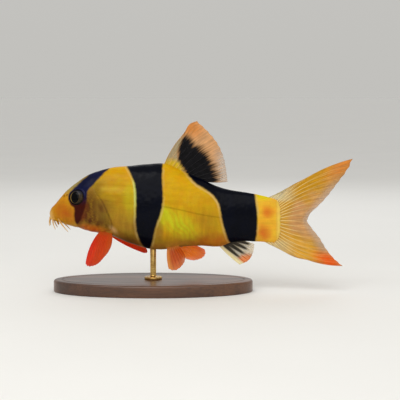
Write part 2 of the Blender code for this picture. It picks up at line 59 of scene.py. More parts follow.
# Distance, back, belly, half width, widest level (share of depth), belly fullness (1 is an ellipse)
STATIONS = (
    (0, 41.4, 37.5, 2.2, 0.45, 0.9),
    (2.5, 43.7, 36.1, 3.2, 0.42, 0.8),
    (7.5, 49.5, 34.1, 5, 0.38, 0.74),
    (12.5, 54, 32.6, 6.3, 0.38, 0.72),
    (20, 58.8, 30.5, 7.8, 0.4, 0.74),
    (30, 62, 28.3, 9.3, 0.43, 0.8),
    (40, 63.1, 24.5, 10.2, 0.45, 0.84),
    (49, 63.8, 21.6, 10.6, 0.46, 0.86),
    (57, 64, 21.2, 10.3, 0.47, 0.88),
    (66, 60.3, 22.3, 9.4, 0.47, 0.9),
    (75, 56.4, 22.8, 8, 0.47, 0.92),
    (84, 52.8, 22.6, 6.5, 0.48, 0.94),
    (92, 50.6, 25.1, 5.1, 0.5, 0.96),
    (102, 49.1, 25.2, 3.6, 0.5, 1),
    (114, 46.2, 24.6, 1.2, 0.5, 1),
)

# Lines on the fish's side, as distance and height
GILL_EDGE = (
    (24.6, 72), (22.6, 60), (22.9, 52), (26.7, 45.8), (29.7, 39.4),
    (31.4, 34.4), (30.6, 31.9), (26.6, 30.7), (24.2, 28), (23.6, 18),
)
CHEEK_EDGE = ((18.6, 47.5), (20.2, 43.5), (21.4, 38.5), (20.6, 34.6), (17.6, 32.6), (13.5, 32))
EYE_GROOVE = ((9.6, 44.6), (12.4, 42.6), (16.6, 41.9))
LATERAL_LINE = (
    (23.5, 47.2), (32, 45.8), (42, 44.9), (52, 44.3), (58, 43.3), (66, 41.6), (75, 39.4),
    (85, 37.7), (100, 36.4), (114.5, 35.8),
)

# Front and rear edges of the black bands on head, body and tail stalk
BANDS = (
    (((25, 63.4), (21, 60), (17.9, 57.2), (14.9, 54.5), (12, 51.7), (9.8, 48.8), (10.8, 44.6),
      (12.8, 42.6), (12.9, 39), (12.9, 36.6), (13.6, 35), (15, 34)),
     ((32, 64.5), (30, 62), (27.2, 59.3), (24.6, 56.6), (22, 53.8), (19.6, 51.2), (19.2, 47.8),
      (18.6, 44), (17.9, 41.2), (16.9, 38.6), (15.8, 36.2), (14.6, 34.7), (13, 34))),
    (((36.8, 66), (38.8, 62.6), (41.3, 58.4), (42.9, 54.4), (43.5, 49.5), (43.6, 42.5), (43.4, 35.5),
      (43.9, 30.5), (45, 26.6), (46.3, 23.6), (48.3, 21.6), (52, 19)),
     ((56.6, 66), (56.3, 60.5), (56.4, 55.5), (56.7, 50), (56.5, 45), (55.4, 39.8), (53.8, 35.4),
      (52.6, 31.6), (51.8, 28), (51.1, 24.6), (49.9, 21.8), (47, 19))),
    (((62, 67), (67.8, 59.9), (73, 54.4), (78.8, 50.7), (82, 48), (84.5, 44.2), (85.2, 40.4),
      (86, 36.4), (86.9, 32.6), (88, 29), (89, 26.2), (91, 23)),
     ((101.4, 54), (102.2, 49), (102.6, 45.4), (103.3, 40.4), (103.6, 36), (103.3, 31.6),
      (103, 28), (102.7, 25.2), (102, 22))),
)

# Eye, nostril and mouth, close to those of the solids
EYE = (14, 47.9)
EYE_RADIUS = 3.85
EYE_HALF_DEPTH = 1.95
EYE_BULGE = 0.9
EYE_FLATNESS = 2.5  # 2 is an ellipse, and more is a flatter dome with a rounder edge
PUPIL_SHIFT = 0.6  # how far the pupil's middle lies before the eye's
PUPIL_HALF = (2.05, 2.75)
NOSTRIL = (7.7, 48.2)
NOSTRIL_STEP = (1.3, 0.65)
NOSTRIL_RADIUS = 0.45
NOSTRIL_FORMS = ((0.7, 0.34), (0.6, 0.12))  # depth and rim of the front and the rear one
LIP_MIDDLE = 4.1
UPPER_LIP = (3.4, 2.5, 0.75, 105)  # reach, half width, roll radius, degrees to each side
MOUTH_SLIT = (2.45, 1.95, 0.3, 85)
LOWER_LIP = (1.6, 1.4, 0.62, 75)

# Barbels of the left side: root (distance, side), way out, length, root radius
BARBELS = {
    "barbel_rostral_inner": ((0.7, 1), (-0.45, -0.25, -0.86), 4.6, 0.48),
    "barbel_rostral_outer": ((1.9, 2.3), (-0.08, -0.42, -0.9), 5.4, 0.5),
    "barbel_maxillary": ((5.2, 3.2), (0.42, -0.38, -0.82), 6, 0.52),
}
BARBEL_TIP = 0.12
BARBEL_SAG = (0.34, 0, -0.12)
CHIN_KNOB = (3.7, 0.9)

# Fins, as in the solids: number of rays, roots and tips along two paths, and how the rays bow
TAIL_MIDDLE = 35.8
DORSAL = (11, ((57, 63.6), (66, 60.2), (76.5, 55.2)),
          ((74, 84.9), (79.2, 80), (83.8, 74.2), (86.8, 67.6), (88.2, 60.5), (88.8, 55)),
          (-2.1, 0.5))
ANAL = (8, ((84.6, 22.8), (94.2, 25.6)),
        ((94.9, 13.5), (99.2, 15.4), (101.6, 19.4), (102.3, 23.8)), (0.4, -0.4))
UPPER_EDGE = (4, ((108.4, 47), (112.4, 46.2)), ((116.4, 50), (126.4, 56.2)), (-0.3, -1.2))
UPPER_MAIN = (10, ((113.4, 45.4), (114.2, TAIL_MIDDLE)),
              ((150.6, 66.8), (148.2, 61.6), (143.4, 55), (138.2, 48.2), (133.2, 42.9),
               (129.6, 39.4), (128.2, TAIL_MIDDLE)), (-3.1, 0))
LOWER_MAIN = (9, ((114.2, TAIL_MIDDLE), (113.4, 25.4)),
              ((128.2, TAIL_MIDDLE), (130.8, 32), (134.6, 27.4), (137.8, 22),
               (142, 16.9), (146.2, 13.4)), (0, 3.4))
LOWER_EDGE = (4, ((112.4, 24.6), (108.4, 24.4)), ((124.6, 16.9), (116, 21.6)), (1.2, 0.3))
PECTORAL = (13, ((-3.1, 0), (3.1, 0.6)),
            ((-3.7, 20.6), (-1.8, 21.8), (0.6, 20.4), (2.8, 17), (4.2, 12.8), (4.8, 8.8)), (-1.4, 0.5))
PELVIC = (8, ((-2.9, 0), (2.9, 0.4)),
          ((-3, 13.9), (-0.6, 15.2), (2.4, 14.6), (5, 11.4), (5.8, 7.2)), (-0.5, 0.3))
# Paired fins: middle of the root, way along the root line, way out, spread, cup
PAIRED = {
    "pectoral_fin_left": ((28.6, -4.7, 30.2), (0.92, -0.18, -0.34), (-0.27, -0.7, -0.66), 1, 0.004),
    "pectoral_fin_right": ((30.2, 5, 29.4), (0.35, -0.55, 0.75), (0.86, 0.17, -0.5), 0.7, 0.002),
    "pelvic_fin_left": ((61.6, -3.9, 22.6), (0.97, -0.1, 0.06), (0.06, -0.82, -0.57), 1, 0.006),
    "pelvic_fin_right": ((63.4, 3.9, 22.6), (-0.3, 0.35, -0.8), (0.93, 0.18, -0.32), 1, 0.004),
}
SHEET_HALF = 0.055  # half thickness of the membrane between two rays
# Curl, level and reach of the fins on the middle line, and curl and reach of the tail's two lobes
DORSAL_CURL = (1.6, 58, 27)
ANAL_CURL = (-0.8, 24, 10)
TAIL_CURLS = ((1.4, 31), (0.8, 22))

# Edges of the black patch on the dorsal fin
DORSAL_PATCH = (
    ((67, 78), (65.9, 75), (64.3, 71.6), (63.7, 68), (64.9, 65), (66.5, 62), (68.4, 58),
     (70, 52)),
    ((67, 78), (70.2, 75.6), (73.9, 72.7), (76.9, 70.4), (79, 67.6), (81, 64.2), (82.8, 60.8),
     (83.6, 57.4), (84, 52)),
)

# Stand
BASE_HALF_LENGTH = 50
BASE_HALF_WIDTH = 23
BASE_HEIGHT = 6
BASE_EDGE = 1.2
GROOVE = 4.2
ROD_RADIUS = 1.5
ROD_TOP = 24.2
FOOT_RADIUS = 4.4
FOOT_HEIGHT = 1.4
FOOT_ROUND = 0.45
SHARP_EDGE = 50  # degrees from which an edge of the stand isn't smoothed

# How finely the forms are drawn
RING_STEPS = ((9, 0.12), (34, 0.17), (BODY_LENGTH, 0.42))  # up to a distance, ring spacing
COLUMNS = 320
TAIL_EDGE = 1.1  # how far the skin laps over the rays of the tail fin
TAIL_EDGE_HALF = 0.26
RAY_SPACING = 1.05
EYE_ROWS = 58
EYE_COLUMNS = 96
BARBEL_ROWS = 56
BARBEL_SIDES = 22

# Tints of the skin in the order in which they are laid on. Colours are 0 to 255, as on a screen
# Some of these tints are painted light: the dark halo behind the head band and the dark marks by the
# gill edge and on the belly paint shade, and the pale streak behind the head and part of the lime paint
# highlights.
SKIN_TINTS = dict(
    gold=(208, 154, 4), under=(178, 122, 46), snout=(192, 140, 18), crown=(136, 125, 78),
    gill=(80, 42, 14), olive=(118, 90, 26), cheek=(170, 78, 20), glow=(192, 84, 22),
    cheek_shade=(92, 40, 14), bright=(205, 156, 12), rust=(190, 104, 22), haze=(120, 88, 28),
    gill_belly_shade=(84, 48, 16), flank_highlight=(222, 186, 60), lime_and_highlight=(194, 196, 28), stalk=(232, 176, 48),
    stalk_crown=(214, 190, 10), stalk_spots=(210, 98, 32), hem_line=(160, 122, 34),
    hem=(228, 198, 96), pale=(216, 178, 118),
)
OCHRE = (160, 122, 34)
AMBER = (180, 138, 10)
RIM_PALE = (206, 174, 104)
RIM_LIME = (198, 206, 110)
NAVY = (12, 16, 50)
BLACK = (2, 4, 16)
MAROON = (58, 12, 4)
# Painted shade in the mouth slit, the nostrils and the ring round each eye
RECESS_SHADE = (26, 18, 14)

# Brightness of the room round the model, at its horizon and above
HORIZON = (0.538, 0.531, 0.507, 1)
ZENITH = (0.64, 0.637, 0.63, 1)

# Camera: it looks along +Y, a little down, and spans VIEW_WIDTH at the fish
VIEW_TARGET = (0.0235, 0, 0.0459)
VIEW_WIDTH = 0.2
VIEW_DISTANCE = 0.6
VIEW_RISE = 5

# Lights: name, place, size, power and colour
LIGHT_TARGET = (0.02, 0, 0.04)
LIGHTS = (
    ("key", (-0.2, -0.34, 0.6), 0.34, 1.1, (1, 0.98, 0.95)),
    ("front", (0.06, -0.72, 0.62), 0.7, 2.35, (1, 0.99, 0.97)),
    ("rim", (0.1, 0.5, 0.45), 0.45, 0.6, (0.97, 0.98, 1)),
)


# General helpers

def ease(value, low, high):
    """0 at low, 1 at high, and a smooth step between. Low may be the greater of the two."""
    t = np.clip((value - low) / (high - low), 0, 1)
    return t * t * (3 - 2 * t)


def between(value, start, full, fade, end):
    """0 up to start, 1 from full to fade, and 0 again from the end on."""
    return ease(value, start, full) * ease(value, end, fade)


def hill(distance, width):
    """1 at no distance, falling softly to nearly nothing at twice the width."""
    return np.exp(-((distance / width) ** 2))


def unit(vectors):
    return np.asarray(vectors) / np.linalg.norm(vectors, axis=-1, keepdims=True)


def hermite(table, x):
    """Rows at x of a table whose first column is x, on a smooth curve through its rows."""
    table = np.asarray(table, float)
    xs, rows = table[:, 0], table[:, 1:]
    k = np.arange(len(xs))
    before, after = np.maximum(k - 1, 0), np.minimum(k + 1, k[-1])
    slopes = (rows[after] - rows[before]) / (xs[after] - xs[before])[:, None]
    i = np.clip(np.searchsorted(xs, x) - 1, 0, len(xs) - 2)
    h = (xs[i + 1] - xs[i])[..., None]
    t = np.clip((x - xs[i])[..., None] / h, 0, 1)
    bend = t * (1 - t) * h * ((1 - t) * slopes[i] - t * slopes[i + 1])
    return rows[i] + (rows[i + 1] - rows[i]) * t * t * (3 - 2 * t) + bend


def smooth_path(points, count):
    """A smooth path of count points through the given ones, evenly spaced."""
    steps = np.linalg.norm(np.diff(points, axis=0), axis=1)
    marks = np.r_[0, np.cumsum(steps)]
    return hermite(np.c_[marks, points], np.linspace(0, 1, count) * marks[-1])


def path_distance(points, path):
    """Distance of each point from a path of short straight steps, and its share of the way along."""
    best = np.full(len(points), np.inf)
    share = np.zeros(len(points))
    last = len(path) - 1
    for k in range(last):
        step = path[k + 1] - path[k]
        t = np.clip((points - path[k]) @ step / (step @ step), 0, 1)
        gap = np.linalg.norm(points - path[k] - t[:, None] * step, axis=1)
        nearer = gap < best
        best[nearer] = gap[nearer]
        share[nearer] = (k + t[nearer]) / last
    return best, share


def behind_line(place, line):
    """Signed distance of (distance, height) places behind a line that runs down the side."""
    path = smooth_path(line, 60)
    gap, _ = path_distance(place, path)
    crossing = np.interp(place[:, 1], path[::-1, 1], path[::-1, 0])
    return np.where(place[:, 0] > crossing, gap, -gap)


def ripple(points, size, seed, waves=12):
    """A smooth random field of about unit height whose lumps have the given size."""
    random = np.random.default_rng(seed)
    total = 0
    for _ in range(waves):
        way = unit(random.normal(size=points.shape[-1]))
        way = way * tau / size * random.uniform(0.6, 1.3)
        total = total + np.sin(points @ way + random.uniform(0, tau))
    return total / sqrt(waves / 2)


def spot(along, level, middle, halves, tilt=0, core=0):
    """1 inside a soft tilted oval and 0 outside it. core is the share of it that is full."""
    x, z = along - middle[0], level - middle[1]
    c, s = cos(radians(tilt)), sin(radians(tilt))
    return ease(np.hypot((x * c + z * s) / halves[0], (z * c - x * s) / halves[1]), 1, core)


def sway(distance):
    """Sideways swing of the swimming wave: small at the head and wide at the tail."""
    share = distance / TOTAL_LENGTH
    return (0.8 + 4 * share**2) * np.sin(tau * (0.95 * share - 0.15))


def to_world(points):
    points = np.array(points, float)
    points[..., 1] += sway(points[..., 0]) - sway(ROD_PLACE)
    points[..., 0] -= ROD_PLACE
    return points * MM


def ring_faces(rows, sides, start=0, order=(0, 1, 2, 3)):
    """Faces between rings of points that follow one another from the point start on."""
    here = np.arange(sides)
    after = (here + 1) % sides
    faces = []
    for row in range(rows - 1):
        a = start + row * sides
        corners = np.c_[a + here, a + after, a + sides + after, a + sides + here]
        faces += corners[:, order].tolist()
    return faces


def dome_faces(rows, sides):
    """Faces of rings behind a first point 0, turned the other way from those of a tube."""
    here = np.arange(1, sides + 1)
    cap = np.c_[np.zeros_like(here), here, np.roll(here, -1)]
    return ring_faces(rows, sides, 1, (0, 3, 2, 1)) + cap.tolist()


def tube_faces(rows, sides):
    """Faces of a tube that is closed by a flat face at both ends."""
    ends = np.arange(sides) + [[0], [(rows - 1) * sides]]
    return ring_faces(rows, sides) + [ends[0, ::-1].tolist(), ends[1].tolist()]


def add_object(name, data):
    obj = bpy.data.objects.new(name, data)
    bpy.context.scene.collection.objects.link(obj)
    return obj


def add_mesh(name, points, faces, material):
    mesh = bpy.data.meshes.new(name)
    mesh.from_pydata(np.asarray(points).reshape(-1, 3).tolist(), [], faces)
    mesh.materials.append(material)
    return add_object(name, mesh)


def make_piece(name, points, faces, material, slot, replaced, **values):
    """A smooth mesh piece in world metres that rides on the model's one body.

    Each of the values gives one number for each point, which the material reads by its name.
    """
    obj = add_mesh(name, points, faces, material)
    obj.data.validate()
    obj.data.shade_smooth()
    for key, numbers in values.items():
        layer = obj.data.attributes.new(key, "FLOAT", "POINT")
        layer.data.foreach_set("value", np.asarray(numbers, np.float32).ravel())
    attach(obj, "root")
    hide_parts(*replaced)
    return obj


# Materials

def linear(color):
    """Three values of 0 to 255 on a screen as a shader takes them. Anything else stays as it is."""
    if not isinstance(color, tuple) or len(color) != 3:
        return color
    shares = [value / 255 for value in color]
    return (*[s / 12.92 if s <= 0.04045 else ((s + 0.055) / 1.055) ** 2.4 for s in shares], 1)


class Paint:
    """Builds one procedural material, or the room round the model.

    Its calls take sockets, plain values and the names of values that the mesh holds. tint() and
    vary() change the colour so far.
    """

    def __init__(self, name, kind="materials", shader="Principled BSDF", **constants):
        self.owner = getattr(bpy.data, kind).new(name)
        self.owner.use_nodes = True
        self.tree = self.owner.node_tree
        self.shader = self.tree.nodes[shader]
        self.place = self.node("TexCoord")["Object"]
        self.color = None
        self.fill(**constants)

    def node(self, kind, inputs=(), **settings):
        """The outputs of a new node. inputs says what goes in, by a socket's name or number."""
        node = self.tree.nodes.new("ShaderNode" + kind)
        for key, value in settings.items():
            setattr(node, key, value)
        for key, value in dict(inputs).items():
            self.put(node.inputs[key], value)
        return node.outputs

    def put(self, socket, value):
        if isinstance(value, str):
            value = self.node("Attribute", attribute_name=value)["Fac"]
        if isinstance(value, bpy.types.NodeSocket):
            self.tree.links.new(value, socket)
        else:
            socket.default_value = value

    def fill(self, **inputs):
        """Fills the shader's inputs, and its base colour with the colour so far."""
        if self.color is not None:
            inputs["Base_Color"] = self.color
        for key, value in inputs.items():
            self.put(self.shader.inputs[key.replace("_", " ")], value)
        return self.owner

    def math(self, operation, *numbers):
        return self.node("Math", enumerate(numbers), operation=operation)[0]

    def times(self, a, b):
        return self.math("MULTIPLY", a, b)

    def step(self, value, low, high, start=0, end=1):
        """A smooth step from start to end as the value goes from low to high."""
        numbers = enumerate((value, low, high, start, end))
        return self.node("MapRange", numbers, interpolation_type="SMOOTHSTEP")[0]

    def spread(self, noise, start, end, low=0.3, high=0.7):
        """Noise, which keeps near its middle, spread out from start to end."""
        return self.step(noise, low, high, start, end)

    def mix(self, share, a, b):
        return self.node("Mix", {0: share, 6: linear(a), 7: linear(b)}, data_type="RGBA")[2]

    def shade(self, color, value, saturation=1, hue=0.5):
        inputs = {"Hue": hue, "Saturation": saturation, "Value": value, "Color": linear(color)}
        return self.node("HueSaturation", inputs)[0]

    def tint(self, share, color):
        self.color = self.mix(share, self.color, color)

    def vary(self, value, **more):
        self.color = self.shade(self.color, value, **more)

    def noise(self, scale, detail=3, turn=(0, 0, 0), place=None):
        """Soft noise. scale says how fine it is, along all axes or along each."""
        place = self.place if place is None else place
        if isinstance(scale, tuple):
            place = self.node("Mapping", {"Vector": place, "Rotation": turn, "Scale": scale})[0]
            scale = 1
        return self.node("TexNoise", {"Vector": place, "Scale": scale, "Detail": detail})["Fac"]

    def cells(self, scale):
        return self.node("TexVoronoi", {"Vector": self.place, "Scale": scale})["Distance"]

    def bump(self, height, depth, strength, **below):
        """Bump of the given depth in millimetres. Normal=... lays it over an earlier one."""
        inputs = {"Height": height, "Distance": depth * MM, "Strength": strength}
        return self.node("Bump", {**inputs, **below})[0]


def skin_material():
    paint = Paint("loach_skin", Coat_Weight=0.1, Coat_Roughness=0.2, Specular_IOR_Level=0.03)
    paint.color = paint.mix(paint.step("level", 30, 57), OCHRE, AMBER)
    for name, tone in SKIN_TINTS.items():
        paint.tint(name, tone)

    # Streaks of the muscles under the skin: level ones above, and slanting ones on the belly
    upper = paint.spread(paint.noise((90, 300, 600)), 0.92, 1.07, 0.25, 0.75)
    lower = paint.noise((620, 300, 110), turn=(0, -0.4, 0))
    lower = paint.spread(lower, 0.89, 1.08, 0.28, 0.72)
    lower = paint.mix(paint.step("along", 78, 92), lower, upper)
    paint.vary(paint.mix(paint.step("level", 36, 50), lower, upper))
    paint.vary(1, hue=paint.spread(paint.noise(260, 5), 0.493, 0.507))
    paint.vary(paint.step(paint.cells(1900), 0.05, 0.4, 0.88, 1.03))
    paint.tint("line", paint.shade(paint.color, 0.55, 1.05))

    # Black bands with a pale rim just outside them
    depth = paint.math("ADD", "band", paint.math("MULTIPLY_ADD", paint.noise(480), 0.8, -0.4))
    rim = paint.times(paint.step(depth, -1.5, -0.5), "rim")
    paint.tint(rim, paint.mix("rim_green", RIM_PALE, RIM_LIME))
    dark = paint.mix(paint.step("along", 34, 28), BLACK, NAVY)
    # the black is brightened and darkened in soft random patches, a painted sheen
    dark = paint.shade(dark, paint.spread(paint.noise(150, 4), 0.7, 1.2))
    low_head = paint.times(paint.step("along", 24, 19), paint.step("level", 49, 43.5))
    black = paint.step(depth, -0.6, 0.6)
    paint.tint(black, paint.mix(low_head, dark, MAROON))
    # painted shade in the openings: the mouth slit, the nostrils and the skin ring round each eye
    paint.tint("socket", RECESS_SHADE)

    moist = paint.spread(paint.noise(500, 4), 0.36, 0.5)
    moist = paint.math("SUBTRACT", moist, paint.times(black, 0.05))
    scales = paint.bump(paint.cells(2600), 0.03, 0.55)
    fine = paint.bump(paint.noise(3500, 4), 0.02, 0.5, Normal=scales)
    return paint.fill(Roughness=moist, Normal=fine)


def fin_material(name, base, tones, ray_tone, ray_share, dark=BLACK, glow=1):
    """A thin fin. tones are the colours of its stored tints, and cover is its opacity.

    glow is painted light: above 1 it brightens a fin as if light shone through it, below 1 it darkens
    it.
    """
    paint = Paint(name, Specular_IOR_Level=0.1)
    paint.color = base
    for tint, tone in tones.items():
        paint.tint(tint, tone)
    fleck = paint.noise(420, 4)
    paint.vary(paint.spread(fleck, 0.93, 1.05, 0.25, 0.75))
    # Streaks that fan out with the rays
    fan = paint.node("CombineXYZ", {0: paint.times("across", 4.6), 1: paint.times("reach", 0.12)})[0]
    paint.vary(paint.spread(paint.noise(1, place=fan), 0.82, 1.13))
    paint.tint(paint.times(paint.times("ray", "ray_share"), ray_share), ray_tone)
    joint = paint.times(paint.math("SINE", paint.times("reach", 8.5)), "ray")
    paint.vary(paint.step(joint, -0.6, 0.9, 1.04, 0.9))
    # painted light: the whole colour is brightened or darkened by glow
    paint.vary(glow)
    paint.tint("dark", paint.shade(dark, paint.spread(fleck, 0.6, 1.8)))
    grain = paint.bump(paint.noise(2600), 0.02, 0.5)
    return paint.fill(
        Alpha="cover", Roughness=paint.spread(fleck, 0.34, 0.48),
        Normal=paint.bump(joint, 0.04, 0.5, Normal=grain),
    )


def eye_material():
    paint = Paint("loach_eye", Coat_Weight=0.16, Coat_Roughness=0.03, Roughness=0.35,
                  Specular_IOR_Level=0)
    fibre = paint.noise(900, 4)
    paint.color = paint.shade((52, 42, 28), paint.spread(fibre, 0.55, 1.4))
    # painted highlight: the top of the eye is tinted blue-grey
    paint.tint(paint.step("top", 0.5, 3, 0, 0.8), (48, 54, 68))
    ring = paint.times(paint.step("pupil", 0.08, 0.2), paint.step("pupil", 0.6, 0.26))
    ring = paint.times(ring, paint.step("front", 0.1, 0.95, 0.04, 0.8))
    paint.tint(ring, paint.shade((198, 156, 70), paint.spread(fibre, 0.8, 1.15)))
    shadow = paint.times(paint.step("radius", 2.85, 3.4), paint.step("front", -0.9, 0, 0.3))
    paint.tint(shadow, (14, 11, 12))
    paint.tint(paint.step("pupil", 0.2, 0.02), (2, 2, 3))
    return paint.fill(Normal=paint.bump(fibre, 0.03, 0.25))


def barbel_material():
    paint = Paint("barbel_skin", Specular_IOR_Level=0.45, Coat_Weight=0.15, Coat_Roughness=0.25)
    paint.color = paint.mix(paint.step("out", 0, 0.8), (198, 142, 50), (214, 176, 122))
    paint.vary(paint.spread(paint.noise(1500, 4), 0.85, 1.08))
    rough = paint.spread(paint.noise(900), 0.36, 0.5)
    rings = paint.bump(paint.noise((1500, 1500, 4200)), 0.04, 0.6)
    return paint.fill(Roughness=rough, Normal=rings)


def wood_material():
    paint = Paint("walnut", Coat_Weight=0.35, Coat_Roughness=0.18)
    rings = paint.noise((9, 130, 60), 6)
    grain = paint.noise((60, 1800, 1800))
    pores = paint.noise((220, 3200, 3200), 2)
    paint.color = paint.mix(paint.step(rings, 0.3, 0.72), (58, 34, 20), (118, 76, 46))
    paint.tint(paint.step(paint.noise((6.3, 18, 18), 4), 0.35, 0.7, 0, 0.5), (84, 50, 30))
    paint.vary(paint.step(grain, 0.25, 0.7, 0.72, 1.12))
    paint.vary(paint.step(pores, 0.3, 0.42, 0.55, 1))
    relief = paint.bump(pores, 0.04, 0.4, Normal=paint.bump(grain, 0.03, 0.4))
    rough = paint.step(grain, 0.2, 0.8, 0.46, 0.32)
    return paint.fill(Roughness=rough, Normal=relief)


def brass_material():
    paint = Paint("brushed_brass", Metallic=1)
    brush = paint.noise((400, 400, 9000), 4)
    stain = paint.step(paint.noise(260, 5), 0.35, 0.75)
    paint.color = paint.mix(stain, (214, 178, 104), (182, 140, 74))
    paint.vary(paint.spread(brush, 0.9, 1.06))
    rough = paint.step(brush, 0.25, 0.75, 0.2, 0.36)
    return paint.fill(Roughness=rough, Normal=paint.bump(brush, 0.01, 0.35))


# The body's own form

def section(distance):
    """Back, belly, half width, widest height and belly fullness at each distance."""
    back, belly, half_width, widest, fullness = hermite(STATIONS, distance).T
    middle = belly + widest * (back - belly)
    cap = np.sqrt(1 - (1 - np.clip(distance / NOSE_ROUND, 0, 1)) ** 2)
    top, bottom = middle + (back - middle) * cap, middle - (middle - belly) * cap
    return top, bottom, half_width * cap, middle, fullness


def under_height(distance, side):
    """Height of the skin under the head."""
    distance, side = np.broadcast_arrays(np.asarray(distance, float), side)
    _, belly, half_width, middle, fullness = section(distance.ravel())
    across = np.clip(np.abs(side.ravel()) / np.maximum(half_width, 0.01), 0, 0.98)
    height = middle - (middle - belly) * np.sqrt(1 - across**2) ** fullness
    return height.reshape(distance.shape)


def flank_side(distance, height):
    """Half width of the body at one distance and height."""
    back, belly, half_width, middle, fullness = (v[0] for v in section(np.array([distance])))
    if height > middle:
        up = ((height - middle) / (back - middle)) ** (1 / BACK_KEEL)
    else:
        up = ((middle - height) / (middle - belly)) ** (1 / fullness)
    return half_width * sqrt(1 - up**2)


def eye_axes(side):
    """The eye's middle and its way back, up and out of the head, square to the skin round it."""
    distance, height = EYE
    step = 0.5
    across = flank_side(distance, height)
    lean_back = (flank_side(distance + step, height) - across) / step
    lean_up = (flank_side(distance, height + step) - across) / step
    out = unit([-lean_back, side, -lean_up])
    back = unit(np.array([1, 0, 0]) - out * out[0])
    up = np.cross(out, back) * -side
    middle = np.array([distance, side * across, height]) + out * (EYE_BULGE - EYE_HALF_DEPTH)
    return middle, back, up, out


def eye_gap(points, side):
    """Distance from the axis of the eye on one side, and endless away from that side's skin."""
    middle, back, up, out = eye_axes(side)
    away = points - middle
    near = (points[:, 1] * side > 0) & (np.abs(away @ out) < 4)
    return np.where(near, np.hypot(away @ back, away @ up), np.inf)


def nostril_gap(points, side, number):
    """Distance from the middle of the front (0) or rear (1) nostril."""
    along = NOSTRIL[0] + number * NOSTRIL_STEP[0]
    level = NOSTRIL[1] + number * NOSTRIL_STEP[1]
    return np.linalg.norm(points - [along, side * flank_side(along, level), level], axis=1)


def mouth_arc(arc, count=60):
    """Points of an arc round the mouth, open to the rear, on the skin under the snout."""
    reach, half_width, _, spread = arc
    angle = np.radians(np.linspace(-spread, spread, count))
    distance = LIP_MIDDLE - reach * np.cos(angle)
    side = half_width * np.sin(angle)
    return np.c_[distance, side, under_height(distance, side)]


def under_root(root, side):
    """The point under the head at a root's distance and offset."""
    distance, offset = root
    return np.array([distance, side * offset, float(under_height(distance, offset))])


# Skin

def body_rings():
    """The plain body as rings by columns, its points evenly spaced round each ring from the back."""
    nose = np.radians(np.linspace(6, 90, 14, endpoint=False))
    tail = np.radians(np.linspace(0, 90, 9))
    parts = [NOSE_ROUND * (1 - np.cos(nose))]
    start = NOSE_ROUND
    for end, spacing in RING_STEPS:
        parts.append(np.linspace(start, end, round((end - start) / spacing), endpoint=False))
        start = end
    ends = np.concatenate([*parts, BODY_LENGTH + TAIL_EDGE * np.sin(tail)])
    back, belly, half_width, middle, fullness = section(np.minimum(ends, BODY_LENGTH))
    lap = ease(ends, BODY_LENGTH - 2, BODY_LENGTH + TAIL_EDGE)
    thin = np.r_[np.ones(len(ends) - len(tail)), np.cos(tail)]
    half_width = TAIL_EDGE_HALF * (1 - thin) + half_width * thin
    angles = np.linspace(0, pi, 721)
    up = np.cos(angles)
    rings = np.empty((len(ends), COLUMNS, 3))
    for row, ring in enumerate(rings):
        high = middle[row] + (back[row] - middle[row]) * np.abs(up) ** BACK_KEEL
        low = middle[row] - (middle[row] - belly[row]) * np.abs(up) ** fullness[row]
        height = np.where(up >= 0, high, low)
        side = half_width[row] * np.sin(angles)
        marks = np.r_[0, np.cumsum(np.hypot(np.diff(side), np.diff(height)))]
        shares = np.linspace(0, marks[-1], COLUMNS // 2 + 1)
        sides = np.interp(shares, marks, side)
        level = np.interp(shares, marks, height)
        level = np.r_[level, level[-2:0:-1]]
        # The flesh ends in a round edge with a faint tongue on each ray of the tail fin
        tongue = 0.08 * np.cos(tau * level / RAY_SPACING) + 0.12 * np.sin(level * 1.7)
        corner = np.abs(level - TAIL_MIDDLE) / 10.8
        ring[:, 0] = ends[row] + lap[row] * (tongue - 2.6 * corner**5)
        ring[:, 1] = np.r_[sides, -sides[-2:0:-1]]
        ring[:, 2] = level
    return rings


def gill_relief(place):
    """The gill cover with its free edge, and the fold of the cheek before it."""
    along, level = place.T
    behind = behind_line(place, GILL_EDGE)
    swell = GILL_PLATE * ease(along, 14, 21) * between(level, 29, 33, 48, 54)
    free = ease(level, 52.5, 48)
    lip = 0.035 * free * hill(behind + 0.5, 0.8)
    slot = 0.24 * free * hill(behind - 0.22, 0.28)
    cheek, _ = path_distance(place, smooth_path(CHEEK_EDGE, 40))
    fold = 0.14 * hill(cheek, 0.45) - 0.07 * hill(cheek - 1.1, 0.6)
    return (swell + lip) * ease(behind, 0.25, -0.5) - slot - fold


def eye_relief(points, side):
    """The skin dips under the eye, and folds rise low round it and higher round the nostrils."""
    gap = eye_gap(points, side)
    height = 0.2 * hill(gap - 4.2, 0.34) - 0.07 * hill(gap - 5, 0.5) - 1.7 * ease(gap, 3.86, 3.3)
    for number, (depth, rim) in enumerate(NOSTRIL_FORMS):
        gap = nostril_gap(points, side, number)
        height += rim * hill(gap - NOSTRIL_RADIUS * 1.5, 0.24) - depth * hill(gap, NOSTRIL_RADIUS * 0.8)
    return height


def roll_relief(points, arc):
    """Height of a lip over the skin, as a roll that thins towards both its ends."""
    gap, share = path_distance(points, mouth_arc(arc))
    radius = arc[2] * (0.45 + 0.55 * np.sin(pi * share))
    return radius * np.clip(1 - (gap / radius) ** 2, 0, 1) ** 0.62


def mouth_relief(points):
    height = np.maximum(roll_relief(points, UPPER_LIP), roll_relief(points, LOWER_LIP))
    gap, share = path_distance(points, mouth_arc(MOUTH_SLIT))
    slit = 0.55 * hill(gap, 0.2) * ease(np.sin(pi * share), -0.1, 0.3)
    return height - slit + 0.03 * np.sin(points[:, 1] * 14) * ease(height, 0.2, 0.6)


